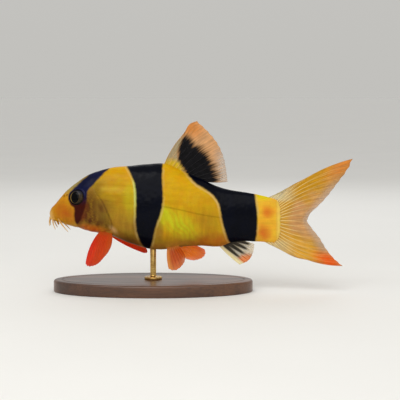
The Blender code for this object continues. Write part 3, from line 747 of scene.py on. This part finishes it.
def fin_base_relief(points):
    """Flesh that swells round the roots of the fins and barbels."""
    along, side, level = points.T
    height = 0.32 * hill(side, 1.3) * between(along, 55, 59, 76, 79.5) * (level > 50)
    height += 0.28 * hill(side, 1.2) * between(along, 82.5, 86, 93.5, 96.5) * (level < 30)
    for root, way, _, spread, _ in PAIRED.values():
        half = unit(way) * 2.4 * spread
        gap, _ = path_distance(points, np.array([root - half, root + half]))
        height += 0.55 * hill(gap, 1.5)
    for root, _, _, _ in BARBELS.values():
        for sign in (-1, 1):
            height += 0.28 * hill(np.linalg.norm(points - under_root(root, sign), axis=1), 0.7)
    return height


def relief(points):
    """How far each point of the plain body is moved outwards, in millimetres."""
    place = points[:, [0, 2]]
    along, side, level = points.T
    height = fin_base_relief(points)
    head = along < 36
    height[head] += gill_relief(place[head])
    front = along < 20
    for sign in (-1, 1):
        height[front] += eye_relief(points[front], sign)
    snout = along < 9
    height[snout] += mouth_relief(points[snout])
    groove, share = path_distance(place[head], smooth_path(EYE_GROOVE, 20))
    height[head] += np.sin(pi * share) * (0.05 * hill(groove - 0.5, 0.4) - 0.09 * hill(groove, 0.32))
    line, _ = path_distance(place, smooth_path(LATERAL_LINE, 60))
    flank = ease(np.abs(side), 0.2, 1)
    fade = 1 - 0.7 * ease(along, 80, 92)
    height += flank * fade * (0.03 * hill(line - 0.4, 0.28) - 0.06 * hill(line, 0.2))
    # Muscle blocks show as faint chevrons along the flank
    off_middle = np.abs(level - 41 + 0.06 * along)
    chevron = along - 0.55 * off_middle + 2.2 * ease(off_middle, 7, 16)
    blocks = ease(along, 32, 45) * flank * ease(level - 0.08 * (60 - along), 56, 50)
    height += 0.012 * np.sin(chevron * tau / 2.3) * blocks
    quiet = between(along, 3, 10, 108, 113)
    return height + quiet * (0.055 * ripple(points, 9, 3) + 0.022 * ripple(points, 3, 4))


def skin_values(points):
    """Where each marking lies, as one number for each point."""
    along, side, level = points.T

    def oval(*form):
        return spot(along, level, *form)

    # The side that the photograph doesn't show has edges a little out of step
    shift = np.where(side > 0, 0.5 * np.sin(level * 0.33 + along * 0.05), 0)
    place = np.c_[along + shift, level]
    bands = [np.minimum(behind_line(place, front), -behind_line(place, rear)) for front, rear in BANDS]
    by_head, by_body = (hill(np.minimum(band, 0), 1.5) for band in bands[:2])
    ahead = -behind_line(place, GILL_EDGE)
    low = level - section(along)[1]
    body = ease(along, 34, 38)
    mottle = 0.88 + 0.12 * ripple(points * [1.4, 1, 0.5], 3, 11) + 0.06 * ripple(points, 1.2, 12)
    gill = mottle * ease(ahead, -1.2, 3.5) * ease(along, 14.5, 17.5) * ease(low, 1.5, 6.5)
    gill = gill * ease(level - 0.3 * (along - 20), 55, 48)
    slant = (along * 0.86 + (level - 30) * 0.5 + 0.6 * ripple(points, 9, 8)) * tau / 2.6
    # Lime, partly a painted highlight: a streaked greenish patch on the flank behind band 2, and lime
    # by band 2's edges
    lime_and_highlight = oval((64, 35.2), (16, 8.4), -33, 0.05) * (0.74 + 0.26 * np.sin(slant))
    lime_and_highlight += 0.5 * oval((57.6, 39.4), (4.2, 6), -12, 0.2)
    lime_and_highlight += 0.32 * oval((40.6, 47), (4.6, 13), 0, 0.2)
    snout_tip = ease(np.linalg.norm(points - [0, 0, 38.2], axis=1), 4.8, 1.2)
    line, _ = path_distance(place, smooth_path(LATERAL_LINE, 60))
    line = hill(line, 0.34) * (0.18 + 0.42 * between(along, 52, 58, 84, 90))
    rim = 0.34 + 0.42 * oval((42.5, 46), (5, 17), 0, 0.4) + 0.22 * ripple(points, 6, 31)
    rim += 0.3 * (oval((56.5, 37), (6, 14), 0, 0.4) + oval((76, 50), (14, 9), -40, 0.4))
    # painted shade: the openings are darkened where shade falls in them
    slit, _ = path_distance(points, mouth_arc(MOUTH_SLIT))
    shaded_openings = [0.75 * ease(slit, 0.3, 0.1) * (along < 9)]
    for sign in (-1, 1):
        shaded_openings.append(ease(eye_gap(points, sign), 4.1, 3.75))
        shaded_openings += [0.85 * hill(nostril_gap(points, sign, number), 0.34) for number in (0, 1)]
    return dict(
        along=along, level=level, band=np.maximum.reduce(bands), under=0.8 * ease(low, 6, 0.5),
        gold=ease(level - 7 * ease(along, 48, 34), 44, 59), snout=ease(along, 17, 8),
        crown=0.85 * oval((13, 56), (11, 5.2), 46, 0.3), gill=np.clip(gill, 0, 0.95),
        olive=0.8 * oval((26.5, 40), (5, 11), 22, 0.1), cheek=0.78 * oval((8, 40.6), (12.5, 9), -16),
        glow=0.85 * oval((21.5, 32), (10, 3.6), -10, 0.1),
        # painted shade: a soft dark halo behind the lower part of the head band, below the eye
        cheek_shade=0.8 * by_head * ease(level, 47, 43) * ease(along, 13, 15.5),
        rust=0.75 * oval((81, 25), (16, 7), 8, 0.1), lime_and_highlight=np.clip(lime_and_highlight, 0, 0.92),
        # painted highlight: a pale streak along the upper flank behind the head
        flank_highlight=0.4 * hill(level - 52 + 0.06 * (along - 30), 1.3) * between(along, 24, 28, 34, 42),
        bright=0.75 * ease(along, 55, 58) * ease(low, 2, 9),
        haze=np.maximum.reduce([
            0.75 * oval((27.6, 43.6), (8.5, 8), -45),
            0.7 * oval((23.6, 51.4), (9, 6.5), 40, 0.1),
            0.35 * oval((79, 36), (11, 11)),
        ]),
        # painted shade: dark marks on the gill cover by its edge, in the crease of the gill edge, on
        # the lower belly before band 2 and in a halo before band 2's low front edge
        gill_belly_shade=np.maximum.reduce([
            0.6 * oval((26.2, 43), (1.9, 3.4), 20, 0.1),
            0.4 * hill(ahead + 0.2, 0.4) * between(level, 30, 33, 44, 51),
            0.82 * oval((40, 25.6), (15, 6.8), -14),
            0.6 * by_body * ease(along, 50, 46) * ease(level, 42, 36),
        ]),
        stalk=0.9 * ease(along, 101, 105), stalk_crown=oval((106.6, 48.4), (5.6, 3.6), 0, 0.3),
        stalk_spots=0.78 * np.maximum(
            oval((108.9, 40.2), (4.6, 4.4), 0, 0.1), oval((106.8, 30.2), (5, 7), 10, 0.1)),
        # the pale streak low on the gill cover's rear is the edge of its membrane, and partly a painted
        # highlight
        pale=0.85 * snout_tip + 0.6 * oval((32.2, 31.9), (4.4, 1.9), -50),
        hem=0.75 * ease(along, 112.4, 114.4), hem_line=0.22 * hill(along - 113.2, 0.4),
        line=line * ease(along, 114, 108), rim=body * np.clip(rim, 0.05, 0.85),
        rim_green=body * oval((41.5, 48), (5, 14), 0, 0.4), socket=np.maximum.reduce(shaded_openings),
    )


def sweep(points, radii, sides):
    """A closed round tube along the points, as its own points and faces."""
    ahead = unit(np.gradient(points, axis=0))
    first = unit(np.cross(ahead, [0.3, 1, 0.1]))[:, None]
    second = np.cross(ahead[:, None], first)
    angle = np.linspace(0, tau, sides, endpoint=False)[:, None]
    ring = np.cos(angle) * first + np.sin(angle) * second
    shell = points[:, None] + ring * radii[:, None, None]
    return shell.reshape(-1, 3), tube_faces(len(points), sides)


def rounded_taper(root, tip, count, flare):
    """Radii from root to tip, flared at the root and closed by a round end."""
    share = np.linspace(0, 1, count)
    radii = tip + (root - tip) * (1 - share) ** 0.8
    radii = radii * (1 + flare * hill(share, 0.16))
    return radii * np.sqrt(np.clip(1 - ease(share, 0.93, 1.02) ** 2, 0.02, 1))


def chin_knob(side):
    """One of the two tiny barbels of the lower lip, which belong to the skin."""
    share = np.linspace(0, 1, 24)[:, None]
    path = under_root(CHIN_KNOB, side) + [0, 0, 0.3]
    path = path + np.array([0.5, 0.18 * side, -2.2]) * share + np.array([0.35, 0, 0]) * share**2
    return sweep(path, rounded_taper(0.46, 0.2, 24, 0.3), 16)


def build_skin(material):
    rings = body_rings()
    around = np.roll(rings, -1, axis=1) - np.roll(rings, 1, axis=1)
    outward = unit(np.cross(np.gradient(rings, axis=0), around)).reshape(-1, 3)
    plain = rings.reshape(-1, 3)
    moved = plain + outward * relief(plain)[:, None]
    apex = moved[:COLUMNS].mean(axis=0, keepdims=True) - [0.004, 0, 0]
    points, source = [apex, moved], [apex, plain]
    faces = dome_faces(len(rings), COLUMNS)
    # The rear edge is closed from side to side
    last = 1 + len(plain) - COLUMNS
    for k in range(COLUMNS // 2):
        corners = (k, -k % COLUMNS, (-k - 1) % COLUMNS, k + 1)
        faces.append([last + corner for corner in dict.fromkeys(corners)])
    for side in (-1, 1):
        shell, knob_faces = chin_knob(side)
        total = sum(len(part) for part in points)
        faces += [[total + k for k in face] for face in knob_faces]
        points.append(shell)
        source.append(shell)
    make_piece(
        "skin", to_world(np.concatenate(points)), faces, material, "skin",
        ("head", "trunk", "tail_stalk"), **skin_values(np.concatenate(source)),
    )


# Eyes and barbels

def build_eye(side, word, material):
    """A flattened dome with an oval pupil that bulges a little."""
    middle, back, up, out = eye_axes(side)
    angle = np.linspace(0, pi, EYE_ROWS + 2)[1:-1, None]
    turn = np.linspace(0, tau, EYE_COLUMNS, endpoint=False)
    radius = EYE_RADIUS * np.sin(angle) ** (2 / EYE_FLATNESS)
    x = np.pad((radius * np.cos(turn)).ravel(), 1)
    y = np.pad((radius * np.sin(turn)).ravel(), 1)
    z = np.pad(np.repeat(np.cos(angle), EYE_COLUMNS), 1, constant_values=(1, -1)) * EYE_HALF_DEPTH
    pupil = (np.hypot((x + PUPIL_SHIFT) / PUPIL_HALF[0], y / PUPIL_HALF[1]) - 1) * PUPIL_HALF[0]
    z = z + 0.12 * ease(pupil, 0.25, -0.7) * (z > 0)
    points = middle + x[:, None] * back + y[:, None] * up + z[:, None] * out
    faces = dome_faces(EYE_ROWS, EYE_COLUMNS)
    last = len(x) - 1
    rear = last - EYE_COLUMNS
    faces += [[rear + k, last, rear + (k + 1) % EYE_COLUMNS] for k in range(EYE_COLUMNS)]
    # back, up and out turn the other way round on the right side, so its faces are turned over
    if np.cross(back, up) @ out < 0:
        faces = [face[::-1] for face in faces]
    reach = np.hypot(x, y)
    make_piece(
        f"eye_ball_{word}", to_world(points), faces, material, "eye", (f"eye_{word}",),
        pupil=pupil, radius=reach, front=-x / np.maximum(reach, 0.5), top=y,
    )


def build_barbel(name, side, word, material):
    root, way, length, radius = BARBELS[name]
    way = unit(way) * [1, -side, 1]
    share = np.linspace(-0.9 / length, 1, BARBEL_ROWS)[:, None]
    outside = np.maximum(share, 0)
    waver = 0.018 * np.sin(share * 7 + len(name)) * outside * [0.5, 1, 0]
    path = under_root(root, side) + (way * share + BARBEL_SAG * outside**2 + waver) * length
    shell, faces = sweep(path, rounded_taper(radius, BARBEL_TIP, BARBEL_ROWS, 0.45), BARBEL_SIDES)
    make_piece(
        f"{name}_skin_{word}", to_world(shell), faces, material, "skin", (f"{name}_{word}",),
        out=np.repeat(share, BARBEL_SIDES),
    )


# Fins

def ray_fan(form):
    """Rays as rows of root x, root z, tip x, tip z and bow."""
    count, roots, tips, bows = form
    return np.c_[smooth_path(roots, count), smooth_path(tips, count), np.linspace(*bows, count)]


def ray_points(rays, t):
    """Points at shares t along rays, which bow sideways. A negative t lies behind the root."""
    root_x, root_z, tip_x, tip_z, bow = np.moveaxis(rays, -1, 0)
    run_x, run_z = tip_x - root_x, tip_z - root_z
    out = np.where(t > 0, 4 * bow * t * (1 - t), 4 * bow * t) / np.hypot(run_x, run_z)
    return root_x + run_x * t + run_z * out, root_z + run_z * t - run_x * out


def ray_ridges(across, t, spacing, leads):
    """How much of a ray each point is, from 0 on the membrane to 1, and its height over it.

    Each soft ray splits in two and then in four towards its tip. The rays in leads stay whole.
    """
    share = np.zeros_like(t)
    height = np.zeros_like(t)
    way_out = np.clip(t, 0, 1)
    for k in range(int(across.max()) + 1):
        soft, stout, tall = (0, 1.5, 1.4) if k in leads else (1, 1, 1)
        first = 0.27 + 0.05 * sin(k * 2.4)
        second = first + 0.27 + 0.04 * sin(k * 1.7)
        thin = 1 - soft * 0.42 * ease(t, first, 0.95)
        width = np.maximum((0.21 - 0.1 * way_out) * thin, 0.07) * stout
        rise = (0.2 - 0.13 * way_out) * thin * tall
        forks = soft * 0.25 * ease(t, first, 1.08), soft * 0.125 * ease(t, second, 1.08)
        for a, b in ((-1, -1), (-1, 1), (1, -1), (1, 1)):
            here = hill((across - k - a * forks[0] - b * forks[1]) * spacing, width)
            share = np.maximum(share, here)
            height = np.maximum(height, here * rise)
    return share, height


def build_fin(name, rays, place, tints, material, slot, nodes, leads=(0,), fine=20, rows=90,
              notch=0.009, flutter=0.25, fleshy=0, crown=0):
    """A closed, thin fin with branched rays. tints gives its stored numbers from where points lie.

    crown rounds the tip by pushing the upper end of the first ray forwards.
    """
    count = len(rays)
    across = np.linspace(0, count - 1, (count - 1) * fine + 1)[:, None]
    lines = np.column_stack([np.interp(across, np.arange(count), column) for column in rays.T])
    length = np.hypot(*(lines[:, 2:4] - lines[:, 0:2]).T)[:, None]
    # The margin dips between rays and frays a little
    ragged = 0.35 * ripple(across, 0.9, len(name))[:, None] + 0.65
    edge = 1 - notch * np.sin(pi * across) ** 2 - 0.35 * notch * ragged
    down = np.linspace(0, 1, rows + 1)
    t = -ROOT_SINK / length + (edge + ROOT_SINK / length) * down
    x, z = ray_points(lines[:, None, :], t)
    run_x, run_z = lines[0, 2:4] - lines[0, 0:2]
    push = crown * hill(t - 0.87, 0.13) * ease(across, 1.8, 0) / np.hypot(run_x, run_z)
    x, z = x - push * run_z, z + push * run_x
    across = np.broadcast_to(across, t.shape)
    spacing = np.hypot(np.gradient(x, axis=0), np.gradient(z, axis=0)) * fine
    share, ridge = ray_ridges(across, t, spacing, leads)
    reach = t * length
    half = SHEET_HALF + ridge + fleshy * hill(np.maximum(reach, 0), 1.6)
    half = half * (1 - 0.45 * ease(down, 0.97, 1))
    wave = flutter * np.maximum(t, 0) ** 2 * np.sin(across * 1.1 + 2.2 * t + len(name))
    points = np.stack([place(x, z, wave - half), place(x, z, wave + half)])

    grid = np.arange(x.size).reshape(x.shape)
    cell = grid[:-1, :-1].ravel()
    front = np.c_[cell, cell + 1, cell + rows + 2, cell + rows + 1]
    rim = np.r_[grid[:, 0], grid[-1, 1:], grid[-2::-1, -1], grid[0, -2:0:-1]]
    after = np.roll(rim, -1)
    sides = np.c_[rim, after, after + x.size, rim + x.size]
    faces = np.r_[front, front[:, ::-1] + x.size, sides]
    near, far = points.reshape(2, -1, 3)
    a, b, _, d = front[len(front) // 2]
    if np.cross(near[b] - near[a], near[d] - near[a]) @ (far[a] - near[a]) > 0:
        faces = faces[:, ::-1]

    middle = place(x, z, np.zeros_like(x))
    values = {"ray_share": np.ones_like(x), "dark": np.zeros_like(x), "ray": share, "reach": reach,
              "across": across, **tints(middle[..., 0], middle[..., 2], across, t)}
    values["cover"] = np.clip(values["cover"] + (0.9 - values["cover"]) * 0.75 * share, 0, 1)
    values = {key: np.stack([value, value]) for key, value in values.items()}
    make_piece(name, to_world(points), faces.tolist(), material, slot, nodes, **values)


def median_place(curl, level, reach):
    """Fins on the middle line lie in the fish's own plane, and curl sideways away from a level."""
    def place(x, z, offset):
        return np.dstack([x, offset + curl * ((z - level) / reach) ** 2, z])
    return place


def tail_place(x, z, offset):
    """Both lobes of the tail fin curl away from the fish's own plane."""
    upper, lower = (median_place(curl, TAIL_MIDDLE, reach)(x, z, offset) for curl, reach in TAIL_CURLS)
    return np.where((z > TAIL_MIDDLE)[..., None], upper, lower)


def side_place(root, along, out, spread, cup):
    """Places a paired fin: x runs along its root line and z out to its tips, with a cupped face."""
    out = unit(out)
    along = unit(along - out * (np.array(along) @ out))
    normal = np.cross(along, out)

    def place(x, z, offset):
        x, z, bend = (v[..., None] for v in (x * spread, z, offset + cup * z * z))
        return np.array(root) + along * x + out * z + normal * bend
    return place


def dorsal_tints(x, z, across, t):
    place = np.c_[x.ravel(), z.ravel()]
    front, rear = (behind_line(place, line).reshape(x.shape) for line in DORSAL_PATCH)
    broad = ripple(np.dstack([across * 2.2, t * 3]), 2, 21)
    feather = ripple(np.dstack([across * 5, t * 1.6]), 1.3, 22)
    feather = feather + 0.8 * ripple(np.dstack([across * 11, t * 2.4]), 1.3, 23)
    dark = ease(front + 0.3 * broad + 0.08 * feather, -1.4, 0.9)
    dark = dark * ease(0.42 * feather + 0.5 * broad - rear, -3, 2)
    strip = ease(front, 0.6, -0.8) * ease(z, 79.5, 74)
    yellow = spot(x, z, (61.5, 62.6), (8, 5), -18, 0.35)
    tip = spot(x, z, (70.5, 82), (9.5, 7.2), -25, 0.15)
    trail = ease(x, 80, 87) * ease(z, 76, 66)
    cover = np.clip(0.76 - 0.06 * strip - 0.42 * trail + 0.2 * yellow + 0.08 * tip, 0.2, 0.95)
    return dict(strip=strip, yellow=yellow, tip=tip, trail=trail, dark=dark,
                cover=cover * (1 - dark) + dark)


def anal_tints(x, z, across, t):
    lead = ease(across, 1.5, 0.75)
    glow = spot(x, z, (98.4, 14.8), (7, 5.4), 10, 0.45)
    wave = np.cos((across - 1.75) * tau / 1.55)
    dark = 0.94 * ease(wave + 1.95 - 3.4 * t, -0.9, 0.9) * ease(t, 0.84, 0.6) * ease(across, 0.85, 1.3)
    trail = ease(t, 0.55, 0.95) * (1 - lead) * (1 - glow)
    cover = 0.52 + 0.4 * lead + 0.45 * glow - 0.12 * trail
    return dict(lead=lead, glow=glow, trail=trail, dark=dark,
                cover=np.clip(cover * (1 - dark) + dark, 0.15, 1))


def tail_tints(x, z, across, t):
    drift = across + 0.6 * ripple(np.dstack([x, z]), 9, 41)
    peach = between(drift, 6.6, 11, 14.6, 18.4) * ease(t, 0.1, 0.45)
    root = ease(x, 123, 115)
    pale = ease(across, 14.5, 18) * (1 - 0.5 * ease(t, 0.5, 0.9))
    high = spot(x, z, (146, 63.5), (18, 8.5), 42, 0.1)
    low = spot(x, z, (139.6, 16), (12.5, 6.6), -24, 0.12)
    ends = np.maximum(high, low)
    margin = ease(t, 0.72, 1) * (1 - ends)
    short = ease(np.abs(z - TAIL_MIDDLE), 8.6, 11.4) * ease(x, 125, 113)
    short = short * np.where(z > TAIL_MIDDLE, 1, 0.6)
    front = ease(np.minimum(across, 25 - across), 4.4, 2.6) * ease(x, 120, 132)
    cover = 0.93 + 0.05 * root + 0.05 * ends - 0.05 * peach - 0.32 * margin - 0.34 * short
    return dict(root=0.85 * root, pale=0.75 * pale, peach=0.9 * peach, front=0.5 * front, high=high,
                low=low, margin=margin, short=short, ray_share=1 - 0.7 * ease(t, 0.12, 0.66),
                cover=cover)


def pectoral_tints(x, z, across, t):
    inner = ease(across, 6, 11)
    cover = 0.95 - 0.12 * inner * ease(t, 0.4, 1) - 0.2 * ease(t, 0.9, 1)
    return dict(lead=ease(across, 4.5, 0.6) * ease(t, 0.1, 0.4), root=ease(t, 0.16, 0.02),
                inner=inner, cover=cover)


def pelvic_tints(x, z, across, t):
    edge = ease(t, 0.62, 1)
    return dict(lead=ease(across, 1.9, 0.3), root=ease(t, 0.22, 0.02), edge=0.8 * edge,
                cover=0.86 - 0.28 * edge * ease(across, 3, 6.5) - 0.1 * edge)


def build_fins():
    dorsal = fin_material(
        "dorsal_membrane", (219, 163, 106),
        dict(tip=(214, 136, 62), trail=(192, 162, 130), strip=(172, 150, 106), yellow=(214, 180, 34)),
        (232, 176, 112), 0.45, (8, 7, 10),
    )
    anal = fin_material(
        "anal_membrane", (180, 168, 140),
        dict(trail=(212, 190, 158), glow=(222, 108, 34), lead=(238, 222, 168)),
        (236, 218, 176), 0.6, (22, 18, 14),
    )
    tail = fin_material(
        "tail_membrane", (202, 146, 26),
        dict(peach=(206, 150, 94), pale=(232, 172, 62), root=(204, 154, 62), front=(190, 118, 44),
             high=(212, 130, 54), low=(238, 92, 14), margin=(190, 150, 110), short=(220, 204, 156)),
        (250, 228, 156), 0.95,
    )
    paired = {}
    # The right paired fins lie in the body's shade, so they are painted lighter: paler pelvic tones and
    # a glow above 1 paint in light shining through them, and a glow below 1 paints the left fins a
    # little darker.
    for word, pectoral_painted_light, pelvic_painted_light, pelvic, lead in (
        ("left", 0.82, 0.84, (198, 74, 6), (236, 148, 62)),
        ("right", 1.55, 1.75, (242, 132, 20), (238, 112, 20)),
    ):
        paired["pectoral_fin_" + word] = fin_material(
            "pectoral_membrane_" + word, (212, 60, 6),
            dict(inner=(212, 82, 14), lead=(228, 40, 12), root=(196, 88, 22)),
            (226, 86, 16), 0.4, glow=pectoral_painted_light,
        )
        paired["pelvic_fin_" + word] = fin_material(
            "pelvic_membrane_" + word, pelvic,
            dict(edge=(222, 118, 48), lead=lead, root=(196, 120, 48)),
            (226, 128, 50), 0.4, glow=pelvic_painted_light,
        )
    build_fin(
        "dorsal_sheet", ray_fan(DORSAL), median_place(*DORSAL_CURL), dorsal_tints, dorsal,
        "orange_fin", ("dorsal_fin",), flutter=0.35, fleshy=0.1, crown=1.6,
    )
    build_fin(
        "anal_sheet", ray_fan(ANAL), median_place(*ANAL_CURL), anal_tints, anal,
        "orange_fin", ("anal_fin",), rows=60, flutter=0.2, fleshy=0.1,
    )
    # Both lobes share the ray at the bottom of the fork
    fan = [ray_fan(UPPER_EDGE), ray_fan(UPPER_MAIN), ray_fan(LOWER_MAIN)[1:], ray_fan(LOWER_EDGE)]
    build_fin(
        "tail_sheet", np.vstack(fan), tail_place, tail_tints, tail, "orange_fin",
        ("tail_fin_upper", "tail_fin_lower"), (0, 1, 2, 3, 4, 21, 22, 23, 24, 25), 18, 110,
        flutter=0.45, fleshy=0.1,
    )
    for node, setting in PAIRED.items():
        form, tints, fine = PELVIC, pelvic_tints, 20
        if node.startswith("pectoral"):
            form, tints, fine = PECTORAL, pectoral_tints, 16
        build_fin(
            node.replace("_fin", "_sheet"), ray_fan(form), side_place(*setting), tints, paired[node],
            "red_fin", (node,), fine=fine, rows=80, notch=0.008, flutter=0.3, fleshy=0.55,
        )


# Stand

def build_turned(name, rows, sides, material, slot, node):
    """A turned piece of the stand from rows of half length, half width and height."""
    angle = np.linspace(0, tau, sides, endpoint=False)
    rings = [np.c_[x * np.cos(angle), y * np.sin(angle), np.full(sides, z)] for x, y, z in rows]
    faces = tube_faces(len(rings), sides)
    piece = make_piece(name, np.array(rings) * MM, faces, material, slot, (node,))
    piece.data.set_sharp_from_angle(angle=radians(SHARP_EDGE))


def round_edge(radius, middle, start, end, steps):
    """Rows along an arc round a middle, between two angles."""
    angles = np.radians(np.linspace(start, end, steps))
    return [(middle[0] + radius * cos(a), middle[1] + radius * sin(a)) for a in angles]


def build_stand():
    base = [
        *round_edge(0.5, (0.5, 0.5), 270, 180, 5),
        *round_edge(BASE_EDGE, (BASE_EDGE, BASE_HEIGHT - BASE_EDGE), 180, 90, 9),
        (GROOVE - 0.5, BASE_HEIGHT),
        *round_edge(0.34, (GROOVE, BASE_HEIGHT + 0.05), 188, 352, 7),
        (GROOVE + 0.5, BASE_HEIGHT), (12, BASE_HEIGHT), (20, BASE_HEIGHT), (22.6, BASE_HEIGHT),
    ]
    foot_top = BASE_HEIGHT + FOOT_HEIGHT
    rod = [
        (0.2, BASE_HEIGHT), (FOOT_RADIUS - 0.15, BASE_HEIGHT), (FOOT_RADIUS, BASE_HEIGHT + 0.15),
        (FOOT_RADIUS, foot_top - FOOT_ROUND),
        *round_edge(FOOT_ROUND, (FOOT_RADIUS - FOOT_ROUND, foot_top - FOOT_ROUND), 15, 90, 6),
        *round_edge(1, (ROD_RADIUS + 1, foot_top + 1), 270, 180, 8),
        (ROD_RADIUS, ROD_TOP - 0.4), (ROD_RADIUS - 0.3, ROD_TOP), (0.2, ROD_TOP),
    ]
    base = [(BASE_HALF_LENGTH - inset, BASE_HALF_WIDTH - inset, height) for inset, height in base]
    rod = [(radius, radius, height) for radius, height in rod]
    build_turned("base_plinth", base, 192, wood_material(), "stand_wood", "stand_base")
    build_turned("rod_brass", rod, 96, brass_material(), "stand_brass", "stand_rod")


# Floor, light and camera

def add_aimed(name, data, place, target):
    """An object that looks from its place to a target."""
    obj = add_object(name, data)
    obj.location = place
    obj.rotation_euler = (Vector(target) - Vector(place)).to_track_quat("-Z", "Y").to_euler()
    return obj


def build_floor(reach=40):
    paint = Paint("pale_floor", Specular_IOR_Level=0.2)
    paint.color = paint.mix(paint.noise(9, 4), (235, 234, 230), (240, 239, 235))
    paint.fill(Roughness=paint.spread(paint.noise(30), 0.7, 0.82))
    corners = [(x * reach, y * reach, 0) for x, y in ((-1, -1), (1, -1), (1, 1), (-1, 1))]
    floor = add_mesh("floor", corners, [(0, 1, 2, 3)], paint.owner)


def build_lights():
    """Square soft lights aimed at the middle of the fish, and not seen themselves, and the room."""
    for name, place, size, power, color in LIGHTS:
        light = bpy.data.lights.new(name, "AREA")
        light.size = size
        light.energy = power
        light.color = color
        add_aimed(name, light, place, LIGHT_TARGET).visible_camera = False
    # The room is as bright as the far floor at the horizon, so that the two melt together
    room = Paint("studio", "worlds", "Background")
    rise = room.node("SeparateXYZ", {0: room.node("TexCoord")["Generated"]})["Z"]
    room.fill(Color=room.mix(room.step(rise, 0, 0.5), HORIZON, ZENITH))
    bpy.context.scene.world = room.owner
    bpy.context.scene.view_settings.view_transform = "Standard"


def build_camera():
    camera = bpy.data.cameras.new("camera")
    camera.sensor_width = 36
    camera.lens = camera.sensor_width * VIEW_DISTANCE / VIEW_WIDTH
    camera.clip_start = 0.001
    rise = radians(VIEW_RISE)
    place = Vector(VIEW_TARGET) + Vector((0, -cos(rise), sin(rise))) * VIEW_DISTANCE
    bpy.context.scene.camera = add_aimed("camera", camera, place, VIEW_TARGET)


build_camera()
build_floor()
build_lights()
build_skin(skin_material())
eye_paint = eye_material()
barbel_paint = barbel_material()
for side, word in ((-1, "left"), (1, "right")):
    build_eye(side, word, eye_paint)
    for name in BARBELS:
        build_barbel(name, side, word, barbel_paint)
build_fins()
build_stand()
